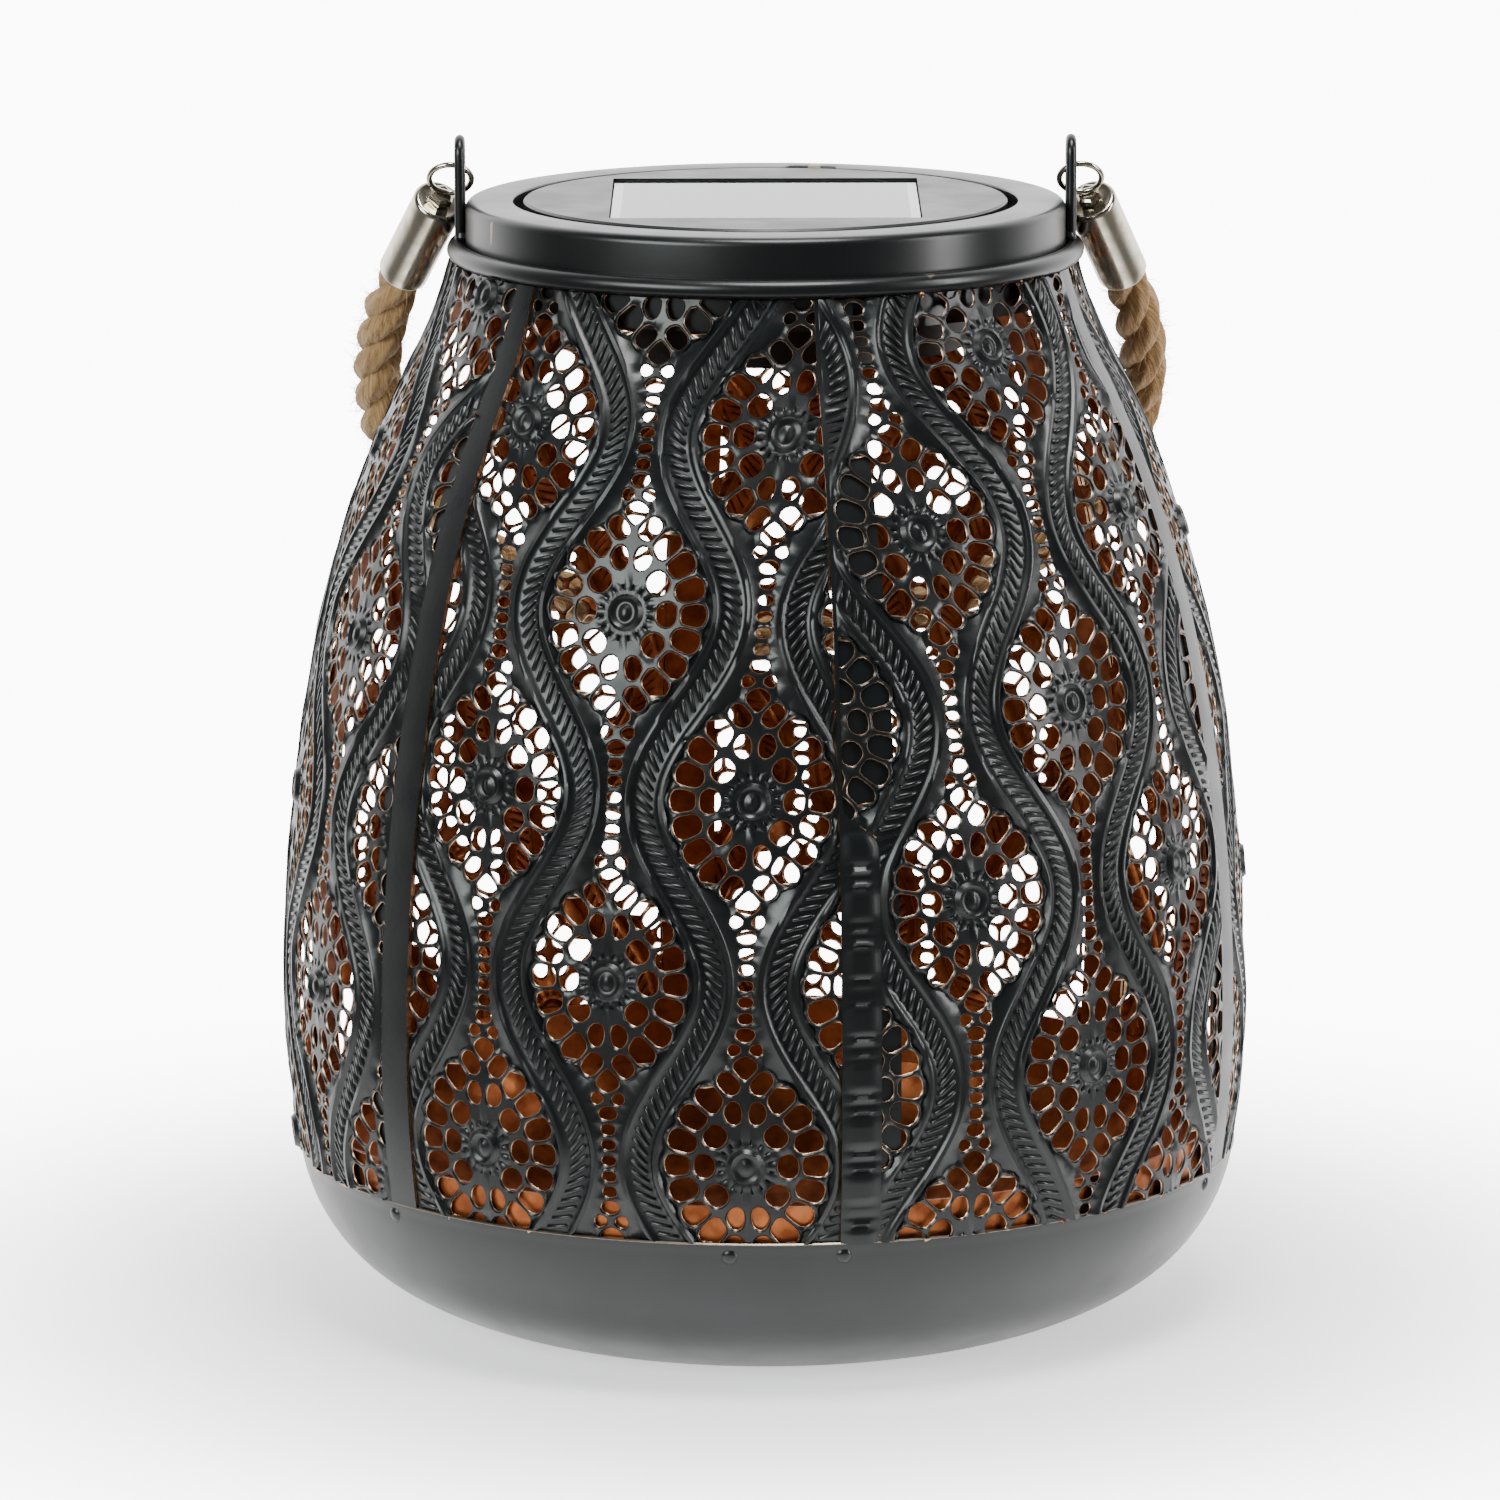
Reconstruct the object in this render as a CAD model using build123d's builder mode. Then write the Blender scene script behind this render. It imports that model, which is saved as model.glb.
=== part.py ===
from build123d import *
import math
import os

os.makedirs("parts", exist_ok=True)

# Millimetres. +Z is up, -Y is the front, and the origin is the middle of the base on the floor.

# Shell: the widest ring, then the arcs that run from it down to the bowl and up to the neck
belly_radius = 90.0
belly_height = 59.0
lower_arc = 203.0
upper_arc = 330.0
shoulder_height = 130.5
shoulder_arc = 194.5
neck_height = 178.2
neck_arc = 90.0
shell_top = 196.2
panel_sheet = 0.6
lap_gap = 0.05
panel_count = 6
first_panel_azimuth = -19.0
under_half_angle = 34.5
over_half_angle = 32.5

# Bowl: a flat foot, a shallow floor arc and a tighter side arc that ends at the rim
rim_height = 30.2
bowl_sheet = 0.8
side_arc = 33.5
side_centre_radius = 54.6
side_centre_height = 34.5
side_turn = 56.7
floor_arc = 51.0
hoop_low = 25.0
hoop_high = 37.0
hoop_low_radius = 85.8
hoop_high_radius = 87.2
hoop_sheet = 0.8

# Collar: a pressed cap with a bead that stops the panels, and a seat that holds the lid
collar_top = 207.0
collar_radius = 55.5
collar_hole = 46.6
collar_sheet = 0.8
collar_round = 1.6
bead_radius = 1.8
bead_centre_radius = 57.1
spigot_radius = 56.1
spigot_depth = 6.0
seat_top = 202.3
seat_hole = 42.5
notch_azimuth = 11.0
notch_width = 8.8
notch_depth = 2.4

# Ears, eyes, ferrules and rope
ear_wire = 1.9
ear_half_width = 2.7
ear_foot = 199.95
hinge_height = 213.4
ear_top = 219.0
handle_lean = 41.5
ring_radius = 3.9
ring_wire = 1.1
ring_offset = 58.25
neck_across = 4.2
neck_length = 1.9
shank_radius = 1.1
shank_length = 2.4
ferrule_radius = 4.75
ferrule_length = 21.5
ferrule_crown = 2.6
ferrule_wall = 0.65
ferrule_chamfer = 0.8
ferrule_outward = {"right": 18.0, "left": 20.0}
side_sign = {"right": 1, "left": -1}
rope_diameter = 9.0

# Solar lid
lid_radius = 44.7
lid_top = 207.2
lid_plate_low = 204.3
lid_rim = 1.5
lid_chamfer = 0.4
window_recess = 57.0
recess_depth = 2.0
panel_side = 56.4
board_sheet = 0.8
cell_side = 53.0
cell_sheet = 0.25
window_sheet = 0.5
gasket_sheet = 0.6
cup_radius = 38.0
cup_wall = 1.6
cup_bottom = 181.0
flange_radius = 42.2
flange_sheet = 1.1
screw_circle = 40.1
screw_radius = 1.1
screw_head = 1.5
screw_head_height = 1.2
screw_reach = 2.2
fit_gap = 0.02

# Battery, circuit, lamp and switch inside the cup
battery_radius = 7.1
battery_length = 48.5
battery_nub_radius = 2.75
battery_nub = 1.0
battery_y = 11.5
battery_z = 190.6
contact_sheet = 0.4
contact_width = 9.0
contact_height = 9.0
leaf_bend = 2.4
rib_sheet = 1.2
rib_height = 13.5
cover_length = 61.0
cover_width = 16.6
cover_ledge = 1.0
cover_screw_inset = 1.9
cover_gap = 0.15
circuit_length = 40.0
circuit_width = 24.0
circuit_sheet = 1.6
circuit_y = -9.5
post_radius = 1.5
post_height = 1.9
led_radius = 2.5
led_y = -1.5
led_drop = 5.5
led_hole = 2.65
switch_x = -12.0
switch_y = -17.5
switch_length = 8.6
switch_width = 4.4
switch_height = 1.7
slider_length = 2.0
slider_width = 1.5
slider_drop = 1.0
slider_travel = 2.0
lead_radius = 0.5
lead_spread = 3.0
lead_y = -19.0


# The shell's outer profile is three arcs and a hollow one, each tangent to the next
rim_drop_angle = math.asin((belly_height - rim_height) / lower_arc)
shoulder_angle = math.asin((shoulder_height - belly_height) / upper_arc)
shoulder_centre_radius = belly_radius - upper_arc + (upper_arc - shoulder_arc) * math.cos(shoulder_angle)
shoulder_centre_height = belly_height + (upper_arc - shoulder_arc) * math.sin(shoulder_angle)
neck_angle = math.asin((neck_height - shoulder_centre_height) / shoulder_arc)
neck_centre_radius = shoulder_centre_radius + (shoulder_arc + neck_arc) * math.cos(neck_angle)
neck_centre_height = shoulder_centre_height + (shoulder_arc + neck_arc) * math.sin(neck_angle)
top_angle = math.asin((neck_centre_height - shell_top) / neck_arc)

# Each arc: its centre, its radius, its two angles, and how its radius grows as the skin moves inward
profile_arcs = [
    ((belly_radius - lower_arc, belly_height), lower_arc, -rim_drop_angle, 0.0, -1),
    ((belly_radius - upper_arc, belly_height), upper_arc, 0.0, shoulder_angle, -1),
    ((shoulder_centre_radius, shoulder_centre_height), shoulder_arc, shoulder_angle, neck_angle, -1),
    ((neck_centre_radius, neck_centre_height), neck_arc, math.pi + neck_angle, math.pi + top_angle, 1),
]


def skin_line(inset):
    """Draw one skin of the shell, `inset` inside the outer one, and return its two ends."""
    arcs = []
    for centre, radius, start, end, growth in profile_arcs:
        turned = math.degrees(end - start)
        arcs.append(CenterArc(centre, radius + growth * inset, math.degrees(start), turned))
    return arcs[0] @ 0, arcs[-1] @ 1


def radial_plane(azimuth):
    """An upright plane through the axis whose X points outward, `azimuth` degrees right of the front."""
    turn = math.radians(azimuth - 90)
    return Plane(
        origin=(0, 0, 0),
        x_dir=(math.cos(turn), math.sin(turn), 0),
        z_dir=(math.sin(turn), -math.cos(turn), 0),
    )


# Six curved panels: the front one and every second one lie under their neighbours' edges
for number in range(panel_count):
    azimuth = first_panel_azimuth + number * 360 / panel_count
    is_under = number % 2 == 0
    half_angle = under_half_angle if is_under else over_half_angle
    skin = panel_sheet + lap_gap if is_under else 0.0
    with BuildPart() as shell_panel:
        with BuildSketch(radial_plane(azimuth - half_angle)):
            with BuildLine():
                outer_foot, outer_head = skin_line(skin)
                inner_foot, inner_head = skin_line(skin + panel_sheet)
                Line(outer_foot, inner_foot)
                Line(outer_head, inner_head)
            make_face()
        revolve(axis=Axis.Z, revolution_arc=2 * half_angle)
    shell_panel.part.label = f"shell_panel_{number + 1}"
    export_step(shell_panel.part, f"parts/shell_panel_{number + 1}.step")


# Bowl under the panels
rim_angle = math.degrees(math.asin((side_centre_height - rim_height) / side_arc))
turn = math.radians(side_turn)
floor_centre_radius = side_centre_radius + (side_arc - floor_arc) * math.cos(turn)
floor_centre_height = side_centre_height - (side_arc - floor_arc) * math.sin(turn)
foot_angle = math.degrees(math.asin(floor_centre_height / floor_arc))

with BuildPart() as base_bowl:
    with BuildSketch(Plane.XZ):
        with BuildLine():
            side = CenterArc(
                (side_centre_radius, side_centre_height),
                side_arc,
                -rim_angle,
                rim_angle - side_turn,
            )
            sweep_angle = side_turn - foot_angle
            floor = CenterArc((floor_centre_radius, floor_centre_height), floor_arc, -side_turn, sweep_angle)
            Line(floor @ 1, (0, 0))
            Line((0, 0), (0, bowl_sheet))
            inner_side = CenterArc(
                (side_centre_radius, side_centre_height),
                side_arc - bowl_sheet,
                -rim_angle,
                rim_angle - side_turn,
            )
            inner_foot_angle = math.degrees(
                math.asin((floor_centre_height - bowl_sheet) / (floor_arc - bowl_sheet))
            )
            inner_floor = CenterArc(
                (floor_centre_radius, floor_centre_height),
                floor_arc - bowl_sheet,
                -side_turn,
                side_turn - inner_foot_angle,
            )
            Line(inner_floor @ 1, (0, bowl_sheet))
            Line(inner_side @ 0, side @ 0)
        make_face()
    revolve(axis=Axis.Z)
base_bowl.part.label = "base_bowl"
export_step(base_bowl.part, "parts/base_bowl.step")

with BuildPart() as base_hoop:
    with BuildSketch(Plane.XZ):
        with BuildLine():
            Polyline(
                (hoop_low_radius, hoop_low),
                (hoop_high_radius, hoop_high),
                (hoop_high_radius - hoop_sheet, hoop_high),
                (hoop_low_radius - hoop_sheet, hoop_low),
                close=True,
            )
        make_face()
    revolve(axis=Axis.Z)
base_hoop.part.label = "base_hoop"
export_step(base_hoop.part, "parts/base_hoop.step")


# Collar
bead_height = shell_top + bead_radius
with BuildPart() as collar:
    with BuildSketch(Plane.XZ) as section:
        with Locations((collar_radius - collar_sheet, bead_height)):
            Rectangle(collar_sheet, collar_top - bead_height, align=(Align.MIN, Align.MIN))
        with Locations((collar_hole, collar_top - collar_sheet)):
            Rectangle(collar_radius - collar_hole, collar_sheet, align=(Align.MIN, Align.MIN))
        outer_corner = section.vertices().group_by(Axis.Y)[-1].sort_by(Axis.X)[-1]
        fillet(outer_corner, radius=collar_round)
        with Locations((collar_hole, seat_top - collar_sheet)):
            Rectangle(collar_sheet, collar_top - seat_top, align=(Align.MIN, Align.MIN))
        with Locations((seat_hole, seat_top - collar_sheet)):
            Rectangle(collar_hole + collar_sheet - seat_hole, collar_sheet, align=(Align.MIN, Align.MIN))
        with Locations((bead_centre_radius, bead_height)):
            Circle(bead_radius)
        with Locations((spigot_radius, bead_height)):
            Rectangle(collar_sheet, bead_radius + spigot_depth, align=(Align.MAX, Align.MAX))
    revolve(axis=Axis.Z)
    with Locations(Plane(origin=(0, 0, collar_top), x_dir=(0, 1, 0)).rotated((0, 0, -notch_azimuth))):
        with Locations((collar_hole - 1, 0, 0)):
            Box(
                1 + notch_depth,
                notch_width,
                2 * (collar_top - seat_top) - 1,
                align=(Align.MIN, Align.CENTER, Align.CENTER),
                mode=Mode.SUBTRACT,
            )
collar.part.label = "collar"
export_step(collar.part, "parts/collar.step")


# Handle: a hairpin ear on each side of the collar, an eye through it, a ferrule and the rope
ear_x = math.sqrt(collar_radius**2 - ear_half_width**2) + ear_wire / 2 + fit_gap
ear_shoulder = ear_top - ear_wire / 2 - ear_half_width
lean = math.radians(handle_lean)
downward = Vector(0, math.sin(lean), -math.cos(lean))
hinge_middle = Vector(0, 0, hinge_height)
ring_reach = ring_radius + ring_wire / 2
rope_start = {}
rope_heading = {}

for side_name, sign in side_sign.items():
    with BuildPart() as ear:
        with BuildLine() as hairpin:
            Line((sign * ear_x, -ear_half_width, ear_foot), (sign * ear_x, -ear_half_width, ear_shoulder))
            ThreePointArc(
                (sign * ear_x, -ear_half_width, ear_shoulder),
                (sign * ear_x, 0, ear_shoulder + ear_half_width),
                (sign * ear_x, ear_half_width, ear_shoulder),
            )
            Line((sign * ear_x, ear_half_width, ear_shoulder), (sign * ear_x, ear_half_width, ear_foot))
        with BuildSketch(Plane(origin=(sign * ear_x, -ear_half_width, ear_foot), z_dir=(0, 0, 1))):
            Circle(ear_wire / 2)
        sweep(path=hairpin.wire())
    ear.part.label = f"ear_{side_name}"
    export_step(ear.part, f"parts/ear_{side_name}.step")

    outward = math.radians(ferrule_outward[side_name])
    along = Vector(sign * math.sin(outward), 0, 0) + downward * math.cos(outward)
    across = Vector(sign, 0, 0).cross(downward)
    ring_centre = Vector(sign * ring_offset, 0, 0) + hinge_middle + downward * ring_radius
    neck_base = ring_centre + along * (ring_reach - ring_wire / 4)
    ferrule_face = ring_centre + along * (ring_reach + neck_length)

    with BuildPart(Plane(origin=ring_centre, x_dir=along, z_dir=across)) as eye:
        Torus(ring_radius, ring_wire / 2)
        with BuildSketch(Plane(origin=neck_base, z_dir=along)):
            RegularPolygon(neck_across / 2, 6, major_radius=False)
        extrude(amount=neck_length + ring_wire / 4)
        with BuildSketch(Plane(origin=ferrule_face, z_dir=along)):
            Circle(shank_radius)
        extrude(amount=shank_length)
    eye.part.label = f"eye_{side_name}"
    export_step(eye.part, f"parts/eye_{side_name}.step")

    with BuildPart(Plane(origin=ferrule_face, x_dir=across, z_dir=along)) as ferrule:
        Cylinder(ferrule_radius, ferrule_length, align=(Align.CENTER, Align.CENTER, Align.MIN))
        crown_edge = ferrule.edges().filter_by(GeomType.CIRCLE).sort_by(lambda edge: edge.center().Z)[-1]
        chamfer(crown_edge, length=ferrule_chamfer)
        with Locations((0, 0, ferrule_crown)):
            Cylinder(
                ferrule_radius - ferrule_wall,
                ferrule_length,
                align=(Align.CENTER, Align.CENTER, Align.MIN),
                mode=Mode.SUBTRACT,
            )
        Cylinder(shank_radius + fit_gap, 3 * ferrule_crown, mode=Mode.SUBTRACT)
    ferrule.part.label = f"ferrule_{side_name}"
    export_step(ferrule.part, f"parts/ferrule_{side_name}.step")
    rope_start[side_name] = ferrule_face + along * ferrule_length
    rope_heading[side_name] = along


def in_handle(x, drop):
    """A point of the handle's own plane: `x` sideways, `drop` away from the hinge axis."""
    return Vector(x, 0, 0) + hinge_middle + downward * drop


# Rope: the corners of its route in the handle's plane, from the right ferrule to the left one
first_run = 22.0
rope_corners = [
    rope_start["right"],
    rope_start["right"] + rope_heading["right"] * first_run,
    in_handle(68.0, 90.0),
    in_handle(45.0, 124.5),
    in_handle(-1.0, 146.5),
    in_handle(-48.0, 124.5),
    in_handle(-71.5, 90.0),
    rope_start["left"] + rope_heading["left"] * first_run,
    rope_start["left"],
]
runs = [b - a for a, b in zip(rope_corners, rope_corners[1:])]
bend_radii = []
for before, after in zip(runs, runs[1:]):
    half_turn = math.radians(before.get_angle(after)) / 2
    bend_radii.append(0.45 * min(before.length, after.length) / math.tan(half_turn))
print("rope bend radii:", [round(radius, 1) for radius in bend_radii])

with BuildPart() as rope_handle:
    with BuildLine() as rope_line:
        FilletPolyline(*rope_corners, radius=bend_radii)
    with BuildSketch(Plane(origin=rope_start["right"], z_dir=rope_heading["right"])):
        Circle(rope_diameter / 2)
    sweep(path=rope_line.wire())
rope_length = rope_line.wire().length
rope_section = math.pi * (rope_diameter / 2) ** 2
print("rope length:", round(rope_length, 2))
rope_ratio = rope_handle.part.volume / rope_section / rope_length
print("rope volume over section times length:", round(rope_ratio, 5))
rope_handle.part.label = "rope_handle"
export_step(rope_handle.part, "parts/rope_handle.step")


# Solar lid: a round top plate with a square recess, and a rim that stands on the collar's seat
flange_top = lid_plate_low - gasket_sheet
screw_places = PolarLocations(screw_circle, 4)
recess_floor = lid_top - recess_depth
with BuildPart() as lid_plate:
    with BuildSketch(Plane.XY.offset(seat_top)):
        Circle(lid_radius)
    extrude(amount=lid_top - seat_top)
    chamfer(lid_plate.faces().sort_by(Axis.Z)[-1].edges(), length=lid_chamfer)
    with BuildSketch(Plane.XY.offset(seat_top)):
        Circle(lid_radius - lid_rim)
    extrude(amount=lid_plate_low - seat_top, mode=Mode.SUBTRACT)
    with BuildSketch(Plane.XY.offset(recess_floor)):
        Rectangle(window_recess, window_recess)
    extrude(amount=recess_depth, mode=Mode.SUBTRACT)
    with BuildSketch(Plane.XY.offset(lid_plate_low)):
        with screw_places:
            Circle(screw_radius + fit_gap)
        with Locations((-lead_spread, lead_y), (lead_spread, lead_y)):
            Circle(lead_radius + fit_gap)
    extrude(amount=screw_reach, mode=Mode.SUBTRACT)
lid_plate.part.label = "lid_plate"
export_step(lid_plate.part, "parts/lid_plate.step")

panel_layers = {
    "panel_board": (panel_side, recess_floor, board_sheet),
    "solar_cell": (cell_side, recess_floor + board_sheet, cell_sheet),
    "panel_window": (panel_side, recess_floor + board_sheet + cell_sheet, window_sheet),
}
for layer_name, (layer_side, layer_low, layer_sheet) in panel_layers.items():
    with BuildPart() as layer:
        with BuildSketch(Plane.XY.offset(layer_low)):
            Rectangle(layer_side, layer_side)
        extrude(amount=layer_sheet)
    layer.part.label = layer_name
    export_step(layer.part, f"parts/{layer_name}.step")

with BuildPart() as lid_gasket:
    with BuildSketch(Plane.XY.offset(flange_top)):
        Circle(flange_radius)
        Circle(cup_radius - cup_wall, mode=Mode.SUBTRACT)
        with screw_places:
            Circle(screw_radius + 2 * fit_gap, mode=Mode.SUBTRACT)
    extrude(amount=gasket_sheet)
lid_gasket.part.label = "lid_gasket"
export_step(lid_gasket.part, "parts/lid_gasket.step")


# Lamp cup under the lid, with a flange, battery ribs, board posts and the holes in its floor
cup_floor = cup_bottom + cup_wall
board_low = cup_floor + post_height
rib_right = battery_length / 2 + battery_nub + contact_sheet
rib_left = -battery_length / 2 - leaf_bend - contact_sheet
post_spread = circuit_length / 2 - 3
post_places = Locations(
    (-post_spread, circuit_y + circuit_width / 2 - 3),
    (post_spread, circuit_y + circuit_width / 2 - 3),
    (post_spread, circuit_y - circuit_width / 2 + 3),
    (0, circuit_y - circuit_width / 2 + 3),
)
cover_screw_x = cover_length / 2 - cover_screw_inset
with BuildPart() as lamp_cup:
    with BuildSketch(Plane.XY.offset(cup_bottom)):
        Circle(cup_radius)
    extrude(amount=flange_top - cup_bottom)
    with BuildSketch(Plane.XY.offset(flange_top - flange_sheet)):
        Circle(flange_radius)
    extrude(amount=flange_sheet)
    with BuildSketch(Plane.XY.offset(cup_floor)):
        Circle(cup_radius - cup_wall)
    extrude(amount=flange_top - cup_floor, mode=Mode.SUBTRACT)
    with BuildSketch(Plane.XY.offset(flange_top - flange_sheet)):
        with screw_places:
            Circle(screw_radius + 2 * fit_gap)
    extrude(amount=flange_sheet, mode=Mode.SUBTRACT)
    with BuildSketch(Plane.XY.offset(cup_floor)):
        with Locations((rib_right + rib_sheet / 2, battery_y), (rib_left - rib_sheet / 2, battery_y)):
            Rectangle(rib_sheet, 2 * battery_radius)
    extrude(amount=rib_height)
    with BuildSketch(Plane.XY.offset(cup_floor)):
        with post_places:
            Circle(post_radius)
    extrude(amount=post_height)
    with BuildSketch(Plane.XY.offset(cup_bottom)):
        with Locations((0, battery_y)):
            Rectangle(battery_length + 2 * battery_nub, cover_width - 2 * cover_ledge)
        with Locations((0, led_y)):
            Circle(led_hole)
        with Locations((switch_x, switch_y)):
            Rectangle(slider_length + slider_travel + 1, slider_width + 0.6)
    extrude(amount=cup_wall, mode=Mode.SUBTRACT)
    with BuildSketch(Plane.XY.offset(cup_bottom)):
        with Locations((0, battery_y)):
            Rectangle(cover_length + 2 * cover_gap, cover_width + 2 * cover_gap)
    extrude(amount=cup_wall / 2, mode=Mode.SUBTRACT)
    with BuildSketch(Plane.XY.offset(cup_bottom)):
        with Locations((cover_screw_x, battery_y)):
            Circle(screw_radius + fit_gap)
    extrude(amount=cup_wall, mode=Mode.SUBTRACT)
lamp_cup.part.label = "lamp_cup"
export_step(lamp_cup.part, "parts/lamp_cup.step")

with BuildPart() as battery_cover:
    with BuildSketch(Plane.XY.offset(cup_bottom)):
        with Locations((0, battery_y)):
            RectangleRounded(cover_length, cover_width, 1.0)
        with Locations((cover_screw_x, battery_y)):
            Circle(screw_radius + 2 * fit_gap, mode=Mode.SUBTRACT)
    extrude(amount=cup_wall / 2)
battery_cover.part.label = "battery_cover"
export_step(battery_cover.part, "parts/battery_cover.step")

with BuildPart() as cover_screw:
    with BuildSketch(Plane.XY.offset(cup_bottom - screw_head_height)):
        with Locations((cover_screw_x, battery_y)):
            Circle(screw_head)
    extrude(amount=screw_head_height)
    with BuildSketch(Plane.XY.offset(cup_bottom)):
        with Locations((cover_screw_x, battery_y)):
            Circle(screw_radius)
    extrude(amount=cup_wall + 1)
cover_screw.part.label = "cover_screw"
export_step(cover_screw.part, "parts/cover_screw.step")

with BuildPart() as lid_screws:
    with BuildSketch(Plane.XY.offset(flange_top - flange_sheet - screw_head_height)):
        with screw_places:
            Circle(screw_head)
    extrude(amount=screw_head_height)
    with BuildSketch(Plane.XY.offset(flange_top - flange_sheet)):
        with screw_places:
            Circle(screw_radius)
    extrude(amount=flange_sheet + gasket_sheet + screw_reach)
lid_screws.part.label = "lid_screws"
export_step(lid_screws.part, "parts/lid_screws.step")


# Battery with its two contacts
with BuildPart() as battery:
    with BuildSketch(Plane.YZ.offset(-battery_length / 2)):
        with Locations((battery_y, battery_z)):
            Circle(battery_radius)
    extrude(amount=battery_length)
    with BuildSketch(Plane.YZ.offset(battery_length / 2)):
        with Locations((battery_y, battery_z)):
            Circle(battery_nub_radius)
    extrude(amount=battery_nub)
battery.part.label = "battery"
export_step(battery.part, "parts/battery.step")

with BuildPart() as contact_plate:
    with BuildSketch(Plane.YZ.offset(rib_right - contact_sheet)):
        with Locations((battery_y, battery_z)):
            Rectangle(contact_width, contact_height)
    extrude(amount=contact_sheet)
contact_plate.part.label = "contact_plate"
export_step(contact_plate.part, "parts/contact_plate.step")

with BuildPart() as contact_leaf:
    with BuildSketch(Plane.XZ.offset(-battery_y)):
        with BuildLine():
            Polyline(
                (rib_left, battery_z - contact_height / 2),
                (rib_left, battery_z + contact_height / 2),
                (rib_left + contact_sheet, battery_z + contact_height / 2),
                (rib_left + contact_sheet + leaf_bend, battery_z),
                (rib_left + contact_sheet, battery_z - contact_height / 2),
                close=True,
            )
        make_face()
        with BuildLine():
            Polyline(
                (rib_left + contact_sheet, battery_z - contact_height / 2 + 1),
                (rib_left + contact_sheet, battery_z + contact_height / 2 - 1),
                (rib_left + leaf_bend, battery_z),
                close=True,
            )
        make_face(mode=Mode.SUBTRACT)
    extrude(amount=contact_width / 2, both=True)
contact_leaf.part.label = "contact_leaf"
export_step(contact_leaf.part, "parts/contact_leaf.step")


# Circuit board with the lamp and the switch under it, and the leads down from the panel
with BuildPart() as circuit_board:
    with BuildSketch(Plane.XY.offset(board_low)):
        with Locations((0, circuit_y)):
            Rectangle(circuit_length, circuit_width)
        with Locations((-lead_spread, lead_y), (lead_spread, lead_y)):
            Circle(lead_radius + fit_gap, mode=Mode.SUBTRACT)
    extrude(amount=circuit_sheet)
circuit_board.part.label = "circuit_board"
export_step(circuit_board.part, "parts/circuit_board.step")

with BuildPart() as panel_leads:
    with BuildSketch(Plane.XY.offset(board_low)):
        with Locations((-lead_spread, lead_y), (lead_spread, lead_y)):
            Circle(lead_radius)
    extrude(amount=recess_floor - board_low)
panel_leads.part.label = "panel_leads"
export_step(panel_leads.part, "parts/panel_leads.step")

led_tip = cup_bottom - led_drop
with BuildPart() as led:
    with BuildSketch(Plane.XY.offset(led_tip + led_radius)):
        with Locations((0, led_y)):
            Circle(led_radius)
    extrude(amount=board_low - led_tip - led_radius)
    with Locations((0, led_y, led_tip + led_radius)):
        Sphere(led_radius)
led.part.label = "led"
export_step(led.part, "parts/led.step")

with BuildPart() as switch_body:
    with BuildSketch(Plane.XY.offset(board_low)):
        with Locations((switch_x, switch_y)):
            Rectangle(switch_length, switch_width)
    extrude(amount=-switch_height)
    with BuildSketch(Plane.XY.offset(board_low)):
        with Locations((switch_x, switch_y)):
            Rectangle(slider_length + slider_travel + 0.6, slider_width + 0.4)
    extrude(amount=-switch_height, mode=Mode.SUBTRACT)
switch_body.part.label = "switch_body"
export_step(switch_body.part, "parts/switch_body.step")

with BuildPart() as switch_slider:
    with BuildSketch(Plane.XY.offset(cup_bottom - slider_drop)):
        with Locations((switch_x - slider_travel / 2, switch_y)):
            Rectangle(slider_length, slider_width)
    extrude(amount=board_low - 0.2 - cup_bottom + slider_drop)
switch_slider.part.label = "switch_slider"
export_step(switch_slider.part, "parts/switch_slider.step")
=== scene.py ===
"""Moroccan metal lantern: its looks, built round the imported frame. Metres, +Z up, -Y is the front."""

import logging
import math
from collections.abc import Callable, Iterable, Sequence
from dataclasses import dataclass, field
from enum import Enum
from functools import cache

import bmesh
import bpy
import numpy as np
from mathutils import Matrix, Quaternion, Vector
from mathutils.geometry import delaunay_2d_cdt


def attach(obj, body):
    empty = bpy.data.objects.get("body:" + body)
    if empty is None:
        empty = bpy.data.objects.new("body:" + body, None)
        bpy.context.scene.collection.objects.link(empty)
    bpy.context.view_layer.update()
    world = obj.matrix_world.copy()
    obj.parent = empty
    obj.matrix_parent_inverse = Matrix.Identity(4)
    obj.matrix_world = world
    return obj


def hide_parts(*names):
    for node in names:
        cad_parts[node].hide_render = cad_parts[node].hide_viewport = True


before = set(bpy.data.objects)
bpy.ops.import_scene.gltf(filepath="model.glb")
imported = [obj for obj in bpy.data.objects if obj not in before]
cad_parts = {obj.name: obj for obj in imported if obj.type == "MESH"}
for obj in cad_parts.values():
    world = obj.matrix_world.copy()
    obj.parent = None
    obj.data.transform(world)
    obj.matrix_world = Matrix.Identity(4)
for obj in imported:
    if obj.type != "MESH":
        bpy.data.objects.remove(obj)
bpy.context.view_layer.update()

log = logging.getLogger("lantern")
MM = 0.001
Point = tuple[float, float]
UP = Vector((0.0, 0.0, 1.0))


def add_node(tree: bpy.types.NodeTree, kind: str, inputs: dict | None = None, **settings) -> bpy.types.Node:
    """Add a node to a tree, with its settings, values and links.

    Args:
        tree: the shader or geometry tree.
        kind: the node's type.
        inputs: a value, a socket or a node (its first output) for each input, by name or number.
        settings: the node's own properties.

    Returns:
        The new node.
    """
    node = tree.nodes.new(kind)
    for name, value in settings.items():
        setattr(node, name, value)
    for key, value in (inputs or {}).items():
        source = value.outputs[0] if isinstance(value, bpy.types.Node) else value
        if isinstance(source, bpy.types.NodeSocket):
            tree.links.new(source, node.inputs[key])
        else:
            node.inputs[key].default_value = source
    return node


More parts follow.
